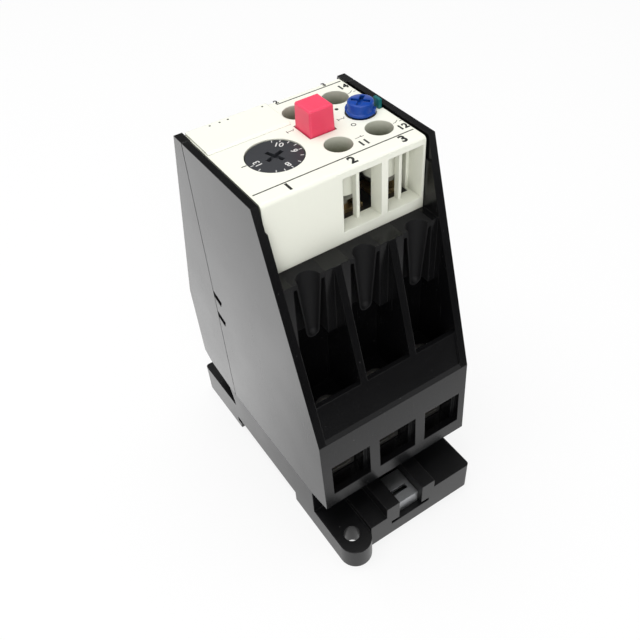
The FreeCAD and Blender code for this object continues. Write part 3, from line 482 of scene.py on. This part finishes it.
SPRING_STEEL = PlatedMetal("spring_wire_steel", (0.52, 0.52, 0.52), (0.26, 0.25, 0.24), 0.30,
                           edge_radius=0.05)
CAGE_STEEL = PlatedMetal("cage_plated_steel", (0.40, 0.395, 0.375), (0.22, 0.21, 0.19), 0.40,
                         grain=(0.08, 1.0, 1.0))
SCREW_STEEL = PlatedMetal("screw_plated_steel", (0.56, 0.55, 0.51), (0.30, 0.28, 0.24), 0.34,
                          grain=(1.0, 1.0, 1.0))
BUSBAR_BRASS = PlatedMetal("busbar_rolled_brass", (0.76, 0.55, 0.27), (0.40, 0.25, 0.11), 0.30,
                           grain=(1.0, 0.06, 1.0))
CONTACT_BRASS = PlatedMetal("contact_strip_brass", (0.79, 0.60, 0.33), (0.42, 0.28, 0.13), 0.28,
                            grain=(1.0, 0.10, 1.0))
BIMETAL_STRIP = PlatedMetal("bimetal_rolled_strip", (0.50, 0.47, 0.42), (0.27, 0.22, 0.17), 0.34)
HEATER_RIBBON = PlatedMetal("heater_oxidised_ribbon", (0.38, 0.34, 0.30), (0.15, 0.12, 0.11), 0.46,
                            tarnish=0.7)
PIN_STEEL = PlatedMetal("ground_pin_steel", (0.60, 0.60, 0.60), (0.35, 0.35, 0.35), 0.22,
                        grain=(1.0, 0.08, 1.0))
BLACK_INK = PrintedInk("black_ink", (0.012, 0.012, 0.012), (0.14, 0.14, 0.13))
WHITE_INK = PrintedInk("pale_scale_paint", (0.62, 0.62, 0.60), (0.30, 0.30, 0.30))

SLOT_FINISHES: dict[Slot, Union[MouldedPlastic, PlatedMetal]] = {
    Slot.HOUSING: BLACK_PLASTIC, Slot.COVER: CREAM_PLASTIC, Slot.BASE: BASE_PLASTIC, Slot.LATCH: LATCH_STEEL,
    Slot.SPRING: SPRING_STEEL, Slot.CAGE: CAGE_STEEL, Slot.SCREW: SCREW_STEEL, Slot.BUSBAR: BUSBAR_BRASS,
    Slot.BIMETAL: BIMETAL_STRIP, Slot.HEATER: HEATER_RIBBON, Slot.INNER_PLASTIC: NATURAL_PLASTIC,
    Slot.TRAY: TRAY_PLASTIC, Slot.PIN: PIN_STEEL, Slot.CONTACT: CONTACT_BRASS, Slot.DIAL: DIAL_PLASTIC,
    Slot.RED: RED_PLASTIC, Slot.BLUE: BLUE_PLASTIC, Slot.PLUNGER: PLUNGER_PLASTIC, Slot.GREEN: GREEN_PLASTIC,
}


class Palette:
    """Materials by finish, made once each."""

    def __init__(self) -> None:
        """Starts with no material made."""
        self._made: dict[str, bpy.types.Material] = {}

    def material(self, finish: Union[MouldedPlastic, PlatedMetal, PrintedInk]) -> bpy.types.Material:
        """The material of a finish, built at its first use."""
        if finish.name not in self._made:
            self._made[finish.name] = finish.build()
        return self._made[finish.name]


@dataclass
class Relay:
    """The CAD nodes and the finishes that they wear."""

    palette: Palette

    def dress(self) -> None:
        """Gives each CAD node the material of its slot."""
        for part in frame["record"]["subparts"]:
            finish = SLOT_FINISHES[Slot(part["material_slot"])]
            materials = frame["nodes"][part["node"]].data.materials
            materials.clear()
            materials.append(self.palette.material(finish))
            LOG.info("dressed %s in %s", part["node"], finish.name)


class Carving:
    """Solid in millimetres that is lathed about Z, cut and joined, then placed as finished pieces."""

    SHARP = 32.0  # faces that meet at more than this many degrees keep a crisp edge

    def __init__(self, profile: list[Point], segments: int = 40) -> None:
        """Lathes an open profile of (radius, height) points whose ends lie on the axis."""
        mesh = bmesh.new()
        points = [mesh.verts.new((radius, 0.0, height)) for radius, height in profile]
        rim = [mesh.edges.new(pair) for pair in zip(points, points[1:])]
        bmesh.ops.spin(mesh, geom=points + rim, cent=(0, 0, 0), axis=(0, 0, 1), angle=2 * math.pi,
                       steps=segments, use_merge=True)
        self.work = self._object(self._closed(mesh))

    @staticmethod
    def _closed(mesh: bmesh.types.BMesh) -> bmesh.types.BMesh:
        """Merges doubles and turns all faces outwards."""
        bmesh.ops.remove_doubles(mesh, verts=mesh.verts, dist=MERGE)
        bmesh.ops.dissolve_degenerate(mesh, edges=mesh.edges, dist=1e-6)
        bmesh.ops.recalc_face_normals(mesh, faces=mesh.faces)
        return mesh

    @staticmethod
    def _object(mesh: bmesh.types.BMesh) -> bpy.types.Object:
        """Turns a bmesh into a working object."""
        data = bpy.data.meshes.new("carving")
        mesh.to_mesh(data)
        mesh.free()
        return linked("carving", data)

    def _combine(self, mesh: bmesh.types.BMesh, operation: str) -> None:
        """Cuts away or joins a closed shell, and clears the slivers that this leaves."""
        tool = self._object(mesh)
        modifier = self.work.modifiers.new("carve", "BOOLEAN")
        modifier.operation, modifier.solver, modifier.object = operation, "EXACT", tool
        bpy.context.view_layer.update()
        shown = self.work.evaluated_get(bpy.context.evaluated_depsgraph_get())
        done = bpy.data.meshes.new_from_object(shown)
        clean = bmesh.new()
        clean.from_mesh(done)
        bmesh.ops.triangulate(clean, faces=clean.faces)
        bmesh.ops.remove_doubles(clean, verts=clean.verts, dist=SLIVER)
        bmesh.ops.dissolve_degenerate(clean, edges=clean.edges, dist=SLIVER)
        clean.to_mesh(done)
        clean.free()
        self.work.modifiers.clear()
        spent = (self.work.data, tool.data)
        self.work.data = done
        bpy.data.objects.remove(tool)
        for data in spent:
            bpy.data.meshes.remove(data)

    def box(self, size: Triple, centre: Triple, turn: float = 0.0, operation: str = "DIFFERENCE") -> None:
        """Cuts away or joins one box.

        Args:
            size: The box's length along each axis.
            centre: Its middle before the turn.
            turn: Its turn about Z in degrees.
            operation: DIFFERENCE or UNION.
        """
        mesh = bmesh.new()
        place = Matrix.Rotation(math.radians(turn), 4, "Z") @ Matrix.Translation(centre)
        bmesh.ops.create_cube(mesh, size=1.0, matrix=place @ Matrix.Diagonal((*size, 1.0)))
        self._combine(mesh, operation)

    def thread(self, profile: list[Point], pitch: float, low: float, high: float, segments: int = 20) -> None:
        """Joins a threaded shank: one pitch of its outline, spun up a helix and cut off at both ends.

        Args:
            profile: The outline of one pitch as (radius, height) points, from one root to the next.
            pitch: The rise of one turn.
            low: The height of the tip.
            high: The height of the upper end.
            segments: Facets in a turn.
        """
        mesh = bmesh.new()
        turns = math.ceil((high - low) / pitch) + 2
        points = [mesh.verts.new((radius, 0.0, low - 1.5 * pitch + height)) for radius, height in profile]
        rim = [mesh.edges.new(pair) for pair in zip(points, points[1:])]
        bmesh.ops.spin(mesh, geom=points + rim, cent=(0, 0, 0), axis=(0, 0, 1), dvec=(0, 0, pitch / segments),
                       angle=2 * math.pi * turns, steps=segments * turns)
        bmesh.ops.remove_doubles(mesh, verts=mesh.verts, dist=10 * MERGE)
        for height, way in ((low, -1.0), (high, 1.0)):
            everything = [*mesh.verts, *mesh.edges, *mesh.faces]
            bmesh.ops.bisect_plane(mesh, geom=everything, dist=1e-6, plane_co=(0, 0, height),
                                   plane_no=(0, 0, way), clear_outer=True)
        ends = [edge for edge in mesh.edges if edge.is_boundary]
        bmesh.ops.holes_fill(mesh, edges=ends, sides=0)
        self._combine(self._closed(mesh), "UNION")

    def place(self, foot: Point, node: str, body: str, material: bpy.types.Material, slot: Slot) -> None:
        """Stands a copy of the solid in the place of a CAD node.

        Args:
            foot: The place of its axis, in millimetres.
            node: The CAD node that it stands for.
            body: The body that carries it.
            material: Its finish.
            slot: Its slot in the record. Not used.
        """
        piece = linked(f"{node}_cut", self.work.data.copy())
        data = piece.data
        data.name = piece.name
        data.transform(Matrix.Scale(MM, 4) @ Matrix.Translation((foot[0], foot[1], 0.0)))
        for face in data.polygons:
            face.use_smooth = True
        data.set_sharp_from_angle(angle=math.radians(self.SHARP))
        data.materials.clear()
        data.materials.append(material)
        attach(piece, body)
        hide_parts(node)
        LOG.info("carved %s on %s", piece.name, body)

    def clear(self) -> None:
        """Takes the working object out of the scene."""
        data = self.work.data
        bpy.data.objects.remove(self.work)
        bpy.data.meshes.remove(data)


@dataclass(frozen=True)
class ScrewType:
    """Sizes of a combined-slot terminal screw, in millimetres, with heights as on the relay."""

    head_radius: float
    head_low: float
    head_high: float
    radius: float
    tip: float
    pitch: float
    slot_width: float
    slot_depth: float
    cross_reach: float
    thread_depth: float = 0.32
    bevel: float = 0.15
    over: float = 1.0
    overlap: float = 0.1

    def carve(self) -> Carving:
        """Makes a screw with a pan head, a slot and cross, and a cut thread."""
        r, low, top = self.head_radius, self.head_low, self.head_high
        crown = [(r, top - 0.67), (r - 0.1, top - 0.42), (r - 0.4, top - 0.22), (r * 0.6, top - 0.07)]
        screw = Carving([(0.0, low), (r - self.bevel, low), (r, low + self.bevel), *crown, (0.0, top)])
        tall = self.slot_depth + self.over
        middle = (0.0, 0.0, top + self.over - tall / 2)
        screw.box((2 * r + self.over, self.slot_width, tall), middle)
        screw.box((self.slot_width, 2 * self.cross_reach, tall), middle)
        root, step = self.radius - self.thread_depth, self.pitch / 8
        outline = [(root, 0.0), (self.radius, 3 * step), (self.radius, 4 * step), (root, 7 * step),
                   (root, self.pitch)]
        screw.thread(outline, self.pitch, self.tip, low + self.overlap)
        return screw


MAIN_SCREW = ScrewType(head_radius=3.6, head_low=47.1, head_high=50.1, radius=2.0, tip=35.6, pitch=0.7,
                       slot_width=0.9, slot_depth=1.4, cross_reach=2.2)
AUX_SCREW = ScrewType(head_radius=2.8, head_low=98.8, head_high=101.1, radius=1.75, tip=91.9, pitch=0.6,
                      slot_width=0.8, slot_depth=1.1, cross_reach=1.8)


@dataclass(frozen=True)
class ResetKnob:
    """Round knob with a broad cross recess, a base collar, two lugs and a hole for its plunger."""

    centre: Point = (17.0, 4.4)
    turn: float = -49.0
    low: float = 111.3
    top: float = 114.3
    radius: float = 3.3
    collar: float = 3.6
    socket_radius: float = 1.25
    socket_top: float = 113.0
    lugs: Triple = (7.6, 1.6, 1.2)
    recess: Triple = (4.9, 1.15, 2.0)

    def build(self, palette: Palette) -> None:
        """Makes the knob in place of its CAD solid."""
        low, top, r, collar = self.low, self.top, self.radius, self.collar
        hollow = [(0.0, self.socket_top), (self.socket_radius, self.socket_top), (self.socket_radius, low)]
        skirt = [(collar, low), (collar, low + 0.55), (collar - 0.15, low + 0.7), (r, low + 0.75)]
        crown = [(r, top - 0.4), (r - 0.1, top - 0.15), (r - 0.35, top), (0.0, top)]
        knob = Carving([*hollow, *skirt, *crown], 48)
        knob.box(self.lugs, (0.0, 0.0, low + self.lugs[2] / 2), self.turn, "UNION")
        for extra in (0.0, 90.0):
            knob.box(self.recess, (0.0, 0.0, top), self.turn + extra)
        knob.place(self.centre, "reset_knob", "reset", palette.material(BLUE_PLASTIC), Slot.BLUE)
        knob.clear()


@dataclass(frozen=True)
class TerminalScrews:
    """Detailed terminal screws in place of their plain CAD solids."""

    rows: tuple[tuple[str, float], ...] = (("load", -24.6), ("line", 30.8))

    def build(self, palette: Palette) -> None:
        """Makes the six main screws and the four auxiliary ones."""
        steel = palette.material(SCREW_STEEL)
        screw = MAIN_SCREW.carve()
        for row, y in self.rows:
            for n, x in enumerate(POLE_ROWS, 1):
                screw.place((x, y), f"{row}_screw_{n}", f"{row}_screw_{n}", steel, Slot.SCREW)
        screw.clear()
        screw = AUX_SCREW.carve()
        for number, foot in AUX_PLACES.items():
            screw.place(foot, f"aux_screw_{number}", f"aux_clamp_{number}", steel, Slot.SCREW)
        screw.clear()


@dataclass(frozen=True)
class CoilSpring:
    """Compression spring of round wire with flat end turns."""

    node: str
    joint: str
    foot: Triple
    upright: bool
    radius: float
    length: float
    turns: int
    travel: float
    wire: float = 0.28
    dead_turns: float = 0.6
    steps: int = 20
    sides: int = 8

    def build(self, palette: Palette) -> None:
        """Makes the spring in place of its plain CAD solid."""
        data = bpy.data.meshes.new(f"{self.node}_wire")
        mesh = bmesh.new()
        across = Matrix.Rotation(math.radians(90.0), 4, "X")
        end = bmesh.ops.create_circle(mesh, cap_ends=True, segments=self.sides, radius=self.wire,
                                      matrix=Matrix.Translation((self.radius, 0.0, self.wire)) @ across)
        moved = [*end["verts"], *mesh.edges, *mesh.faces]
        live = self.turns - 2 * self.dead_turns
        rise = (self.length - 2 * self.wire) / (self.steps * live)
        for turns, climb in ((self.dead_turns, 0.0), (live, rise), (self.dead_turns, 0.0)):
            spun = bmesh.ops.spin(mesh, geom=moved, cent=(0, 0, 0), axis=(0, 0, 1), dvec=(0, 0, climb),
                                  angle=2 * math.pi * turns, steps=round(self.steps * turns))
            moved = spun["geom_last"]
        for face in mesh.faces:
            face.smooth = len(face.verts) == 4
        turn = Matrix() if self.upright else Matrix.Rotation(math.radians(-90.0), 4, "X")
        place = Matrix.Translation(Vector(self.foot) * MM) @ turn @ Matrix.Scale(MM, 4)
        bmesh.ops.transform(mesh, matrix=place, verts=mesh.verts)
        bmesh.ops.recalc_face_normals(mesh, faces=mesh.faces)
        mesh.to_mesh(data)
        mesh.free()
        data.materials.append(palette.material(SPRING_STEEL))
        piece = linked(f"{self.node}_wire", data)
        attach(piece, "relay_body")
        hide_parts(self.node)
        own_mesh(piece)


SPRINGS = (
    CoilSpring("test_spring", "test_press", (4.2, 5.3, 94.4), upright=True,
               radius=2.2, length=13.1, turns=6, travel=2.5),
    CoilSpring("reset_spring", "reset_press", (17.0, 4.4, 94.4), upright=True,
               radius=2.0, length=11.2, turns=5, travel=2.5),
    CoilSpring("latch_spring", "latch_slide", (-0.4, -27.2, 8.6), upright=False,
               radius=1.6, length=9.8, turns=6, travel=3.5),
)


class PrintMaker:
    """Builds thin printed marks as meshes that lie on a level surface."""

    SUNK = 0.008  # how far the ink reaches into its surface, in millimetres
    FONT_SIZE = 1.38  # the font's size over its figures' height
    FONT_STEPS = 6
    DOT_SIDES = 20
    ARC_STEP = 8.0  # degrees that one bar of an arc spans

    def __init__(self, level: float, thickness: float = 0.03) -> None:
        """Sets the surface's height and the ink's thickness, both in millimetres."""
        self.level = level
        self.thickness = thickness
        self.mesh = bmesh.new()

    def bar(self, start: Point, end: Point, width: float) -> None:
        """Adds a straight bar.

        Args:
            start: One end of its middle line, in millimetres.
            end: The other end.
            width: Its width.
        """
        a, b = Vector(start), Vector(end)
        middle = (a + b) / 2
        turn = Matrix.Rotation(math.atan2(b.y - a.y, b.x - a.x), 4, "Z")
        size = Matrix.Diagonal(((b - a).length * MM, width * MM, self.thickness * MM, 1.0))
        place = self._spot((middle.x, middle.y), self.level)
        bmesh.ops.create_cube(self.mesh, size=1.0, matrix=place @ turn @ size)

    def dot(self, centre: Point, radius: float, level: Optional[float] = None) -> None:
        """Adds a round dot, on the maker's own surface where no level is given."""
        place = self._spot(centre, self.level if level is None else level)
        bmesh.ops.create_cone(self.mesh, cap_ends=True, segments=self.DOT_SIDES, radius1=radius * MM,
                              radius2=radius * MM, depth=self.thickness * MM, matrix=place)

    def arc(self, centre: Point, radius: float, start: float, end: float, width: float) -> None:
        """Adds an arc of short bars between two angles in degrees."""
        steps = max(4, int(abs(end - start) / self.ARC_STEP))
        angles = [math.radians(start + (end - start) * n / steps) for n in range(steps + 1)]
        rim = [(centre[0] + radius * math.cos(a), centre[1] + radius * math.sin(a)) for a in angles]
        for a, b in zip(rim, rim[1:]):
            self.bar(a, b, width)

    def tick(self, centre: Point, inner: float, outer: float, angle: float, width: float) -> None:
        """Adds a radial tick about a centre at an angle in degrees."""
        way = Vector((math.cos(math.radians(angle)), math.sin(math.radians(angle))))
        self.bar(tuple(Vector(centre) + way * inner), tuple(Vector(centre) + way * outer), width)

    def number(self, text: str, centre: Point, height: float, turn: float = 0.0, bold: float = 0.055) -> None:
        """Adds plain figures.

        Args:
            text: The figures.
            centre: Their middle, in millimetres.
            height: The figures' height.
            turn: Their turn in degrees about the middle.
            bold: How far the strokes are thickened, as a share of the height.
        """
        curve = bpy.data.curves.new("figures", "FONT")
        curve.body = text
        curve.align_x, curve.align_y = "CENTER", "CENTER"
        curve.size = height * self.FONT_SIZE * MM
        curve.offset = bold * height * MM
        curve.extrude = self.thickness * MM / 2
        curve.resolution_u = self.FONT_STEPS
        holder = linked("figures", curve)
        bpy.context.view_layer.update()
        flat = bpy.data.meshes.new_from_object(holder.evaluated_get(bpy.context.evaluated_depsgraph_get()))
        flat.transform(self._spot(centre, self.level) @ Matrix.Rotation(math.radians(turn), 4, "Z"))
        self.mesh.from_mesh(flat)
        bpy.data.objects.remove(holder)
        bpy.data.curves.remove(curve)
        bpy.data.meshes.remove(flat)

    def finish(self, name: str, body: str, material: bpy.types.Material, slot: Slot) -> None:
        """Turns the marks into one object that rides on a body.

        Args:
            name: The piece's name.
            body: The CAD body that carries it.
            material: Its ink.
            slot: The record's slot it belongs to. Not used.
        """
        bmesh.ops.remove_doubles(self.mesh, verts=self.mesh.verts, dist=1e-7)
        bmesh.ops.recalc_face_normals(self.mesh, faces=self.mesh.faces)
        data = bpy.data.meshes.new(name)
        self.mesh.to_mesh(data)
        self.mesh.free()
        data.materials.append(material)
        piece = linked(name, data)
        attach(piece, body)
        LOG.info("printed %s on %s", name, body)

    def _spot(self, centre: Point, level: float) -> Matrix:
        """Move to the middle of the ink over a surface."""
        height = level + self.thickness / 2 - self.SUNK
        return Matrix.Translation((centre[0] * MM, centre[1] * MM, height * MM))


@dataclass
class CoverPrint:
    """Rules, plain numbers and small signs printed on the pale operating face."""

    palette: Palette
    top_z: float = 111.1
    raised_z: float = 111.6
    rule_width: float = 0.34
    near_rule: tuple[Point, Point] = ((-21.9, -9.9), (22.1, -9.9))
    far_rule: tuple[Point, Point] = ((2.6, 20.6), (22.1, 20.6))
    dots: tuple[Point, ...] = ((-16.0, 21.2), (-13.3, 21.2), (-11.0, 21.2), (-1.2, 21.2))
    dot_radius: float = 0.28
    numbers: tuple[tuple[str, Point, float], ...] = (
        ("1", (-13.9, -11.85), 2.7), ("2", (3.1, -11.85), 2.7), ("3", (17.6, -11.85), 2.7),
        ("2", (3.1, 21.75), 1.6), ("3", (17.6, 21.75), 1.6), ("11", (9.55, -7.5), 2.1),
        ("12", (20.95, -7.5), 2.1), ("13", (9.3, 17.6), 2.1), ("14", (20.9, 17.6), 2.1))
    closed_signs: tuple[Point, ...] = ((10.0, -4.9), (9.9, 13.6))
    open_signs: tuple[Point, ...] = ((21.2, -4.9), (21.0, 13.9))
    push_signs: tuple[Point, ...] = ((-1.4, 7.6), (11.4, 4.7))
    stroke: float = 0.16
    closed_rise: float = 0.15
    open_rise: float = 0.75
    dial_mark: float = 178.0
    mark_span: Span = (DIAL_RADIUS + 0.25, DIAL_RADIUS + 1.6)
    mark_width: float = 0.3
    full_mark: Point = (13.1, 9.2)
    full_radius: float = 0.5
    ring_mark: Point = (12.2, 0.6)
    ring_radius: float = 0.55
    ring_width: float = 0.22

    def build(self) -> None:
        """Makes the printed pieces."""
        self._rules()
        self._numbers()
        self._signs()

    def _rules(self) -> None:
        """The rule along each terminal row and the row of small dots."""
        ink = PrintMaker(self.top_z)
        for start, end in (self.near_rule, self.far_rule):
            ink.bar(start, end, self.rule_width)
        for centre in self.dots:
            ink.dot(centre, self.dot_radius, self.raised_z)
        ink.finish("cover_rules", "relay_body", self.palette.material(BLACK_INK), Slot.COVER)

    def _numbers(self) -> None:
        """Plain pole and contact numbers."""
        ink = PrintMaker(self.top_z)
        for text, centre, height in self.numbers:
            ink.number(text, centre, height)
        ink.finish("cover_numbers", "relay_body", self.palette.material(BLACK_INK), Slot.COVER)

    def _signs(self) -> None:
        """Open and closed contact signs, the dial's mark, and a dot and a ring beside the knob."""
        ink = PrintMaker(self.top_z)
        for x, y in self.closed_signs:
            self._contact_sign(ink, x, y, self.closed_rise)
            ink.bar((x + 0.55, y - 0.1), (x + 0.55, y + 0.55), self.stroke)
        for x, y in self.open_signs:
            self._contact_sign(ink, x, y, self.open_rise)
        ink.tick(DIAL_CENTRE, *self.mark_span, self.dial_mark, self.mark_width)
        for centre in self.push_signs:
            self._push_sign(ink, *centre)
        ink.dot(self.full_mark, self.full_radius)
        ink.arc(self.ring_mark, self.ring_radius, 0.0, 360.0, self.ring_width)
        ink.finish("cover_signs", "relay_body", self.palette.material(BLACK_INK), Slot.COVER)

    def _contact_sign(self, ink: PrintMaker, x: float, y: float, rise: float) -> None:
        """Two leads of a contact and the arm between them, which rises to its tip."""
        ink.bar((x - 1.25, y), (x - 0.55, y), self.stroke)
        ink.bar((x + 0.55, y), (x + 1.25, y), self.stroke)
        ink.bar((x - 0.55, y), (x + 0.5, y + rise), self.stroke)

    def _push_sign(self, ink: PrintMaker, x: float, y: float) -> None:
        """A small sign of a pushed actuator: a bar, a stem and a bracket."""
        ink.bar((x - 0.9, y), (x + 0.5, y), self.stroke)
        ink.bar((x - 0.9, y - 0.55), (x - 0.9, y + 0.55), 0.18)
        ink.bar((x + 0.5, y - 0.4), (x + 1.1, y + 0.45), self.stroke)


@dataclass
class DialPrint:
    """Pale ticks and plain numbers on the current dial."""

    palette: Palette
    top_z: float = 110.9
    figures: tuple[tuple[str, float], ...] = (("8", -82.0), ("9", -10.0), ("10", 48.0), ("13", 184.0))
    number_radius: float = 4.75
    number_height: float = 1.75
    number_bold: float = 0.02
    ticks: tuple[float, ...] = (-118.0, -100.0, -82.0, -58.0, -34.0, -10.0, 10.0, 29.0, 48.0, 66.0, 184.0,
                                206.0)
    tick_span: Span = (DIAL_RADIUS - 1.1, DIAL_RADIUS - 0.3)
    tick_width: float = 0.22

    def build(self) -> None:
        """Makes the dial's marks, which turn with it."""
        ink = PrintMaker(self.top_z)
        for angle in self.ticks:
            ink.tick(DIAL_CENTRE, *self.tick_span, angle, self.tick_width)
        for text, angle in self.figures:
            way = math.radians(angle)
            place = (DIAL_CENTRE[0] + self.number_radius * math.cos(way),
                     DIAL_CENTRE[1] + self.number_radius * math.sin(way))
            ink.number(text, place, self.number_height, turn=angle - 90.0, bold=self.number_bold)
        ink.finish("dial_scale", "dial", self.palette.material(WHITE_INK), Slot.DIAL)


@dataclass
class Studio:
    """White floor, soft lamps, even world and the camera."""

    floor_radius: float = 2.5
    floor_sides: int = 96
    ambient: float = 0.55
    seen_white: float = 1.0
    dim: float = 0.04
    floor_drop: float = 0.2
    floor_white: float = 0.86
    floor_share: float = 0.8
    front_fade: Span = (-0.15, -0.06)
    back_rise: Span = (-0.02, 0.05)
    back_gain: float = 0.75
    sky_fade: Span = (0.1, 0.55)
    lamps: tuple[tuple[str, Triple, float, float], ...] = (
        ("overhead", (-0.10, 0.15, 0.95), 0.9, 7.0),
        ("front_fill", (-0.48, -0.85, 0.55), 0.7, 5.4),
    )
    lamp_aim: Triple = (0.0, 0.0, 0.06)
    camera_place: Triple = (-78.645, -131.75, 203.405)
    camera_axes: tuple[Triple, ...] = ((0.8285, -0.5580, -0.0465), (0.4321, 0.5843, 0.6869),
                                       (-0.3561, -0.5892, 0.7252))
    camera_middle: Point = (329.84, 345.68)
    focal_pixels: float = 736.75
    frame_pixels: float = 640.0
    sensor: float = 36.0
    clip_start: float = 0.01

    def build(self) -> None:
        """Sets the scene around the relay."""
        self._floor()
        self._world()
        for name, place, size, power in self.lamps:
            self._lamp(name, place, size, power)
        self._camera()
        bpy.context.scene.view_settings.view_transform = "Standard"
        LOG.info("studio ready")

    @staticmethod
    def _rays(graph: Graph) -> tuple[Socket, Socket]:
        """1 for camera rays, and 1 for mirrored or transmitted rays."""
        camera, glossy, through = [graph.node("ShaderNodeLightPath", output=f"Is {kind} Ray")
                                   for kind in ("Camera", "Glossy", "Transmission")]
        return camera, (glossy + through).clamped()

    def _floor(self) -> None:
        """Round plain floor just under the base, mirrored brightly beside the relay and darkly in front."""
        mesh = bmesh.new()
        bmesh.ops.create_circle(mesh, cap_ends=True, segments=self.floor_sides, radius=self.floor_radius)
        bmesh.ops.translate(mesh, vec=(0.0, 0.0, -self.floor_drop * MM), verts=mesh.verts)
        data = bpy.data.meshes.new("floor")
        mesh.to_mesh(data)
        mesh.free()
        floor = linked("floor", data)
        material = bpy.data.materials.new("white_floor")
        graph = Graph(material)
        camera, mirrored = self._rays(graph)
        place = graph.node("ShaderNodeTexCoord", output="Object")
        along = graph.part(place, 1)
        front = along.ramp(*self.front_fade) * (1.0 - self.dim)
        beside = front + along.ramp(*self.back_rise) * self.back_gain
        strength = camera * self.seen_white + mirrored * (beside + self.dim)
        white = (self.floor_white, self.floor_white, self.floor_white, 1.0)
        matte = graph.node("ShaderNodeBsdfDiffuse", None, {"Color": white})
        glow = graph.node("ShaderNodeEmission", None, {"Color": (1.0, 1.0, 1.0, 1.0), "Strength": strength})
        share = camera * self.floor_share + mirrored
        graph.close(graph.node("ShaderNodeMixShader", None, {0: share.clamped(), 1: matte, 2: glow}))
        data.materials.append(material)

    def _world(self) -> None:
        """Even soft world, white where the camera sees it and dim overhead where it is mirrored."""
        world = bpy.data.worlds.new("studio")
        bpy.context.scene.world = world
        graph = Graph(world)
        camera, mirrored = self._rays(graph)
        way = graph.node("ShaderNodeTexCoord", output="Generated")
        fade = graph.part(way, 2).ramp(*self.sky_fade) * (1.0 - self.dim)
        strength = camera * self.seen_white + mirrored * (1.0 - fade)
        soft = graph.node("ShaderNodeBackground", None, {"Strength": self.ambient})
        seen = graph.node("ShaderNodeBackground", None, {"Color": (1.0, 1.0, 1.0, 1.0), "Strength": strength})
        share = (camera + mirrored).clamped()
        graph.close(graph.node("ShaderNodeMixShader", None, {0: share, 1: soft, 2: seen}),
                    "ShaderNodeOutputWorld")

    def _lamp(self, name: str, place: Triple, size: float, power: float) -> None:
        """One square soft lamp aimed at the relay."""
        data = bpy.data.lights.new(name, "AREA")
        data.size = size
        data.energy = power
        lamp = linked(name, data)
        lamp.location = place
        aim = Vector(self.lamp_aim) - Vector(place)
        lamp.rotation_euler = aim.to_track_quat("-Z", "Y").to_euler()

    def _camera(self) -> None:
        """Camera with the photograph's place, turn and framing."""
        data = bpy.data.cameras.new("camera")
        half = self.frame_pixels / 2
        data.sensor_width = self.sensor
        data.lens = self.focal_pixels * self.sensor / self.frame_pixels
        data.shift_x = (half - self.camera_middle[0]) / self.frame_pixels
        data.shift_y = (self.camera_middle[1] - half) / self.frame_pixels
        data.clip_start = self.clip_start
        camera = linked("camera", data)
        turn = Matrix(self.camera_axes).transposed().to_quaternion().to_matrix().to_4x4()
        camera.matrix_world = Matrix.Translation(Vector(self.camera_place) * MM) @ turn
        bpy.context.scene.camera = camera


def main() -> None:
    """Builds the dressed relay and its studio."""
    logging.basicConfig(level=logging.INFO, format="%(message)s")
    palette = Palette()
    Relay(palette).dress()
    TerminalScrews().build(palette)
    ResetKnob().build(palette)
    for spring in SPRINGS:
        spring.build(palette)
    CoverPrint(palette).build()
    DialPrint(palette).build()
    Studio().build()


if __name__ == "__main__":
    main()
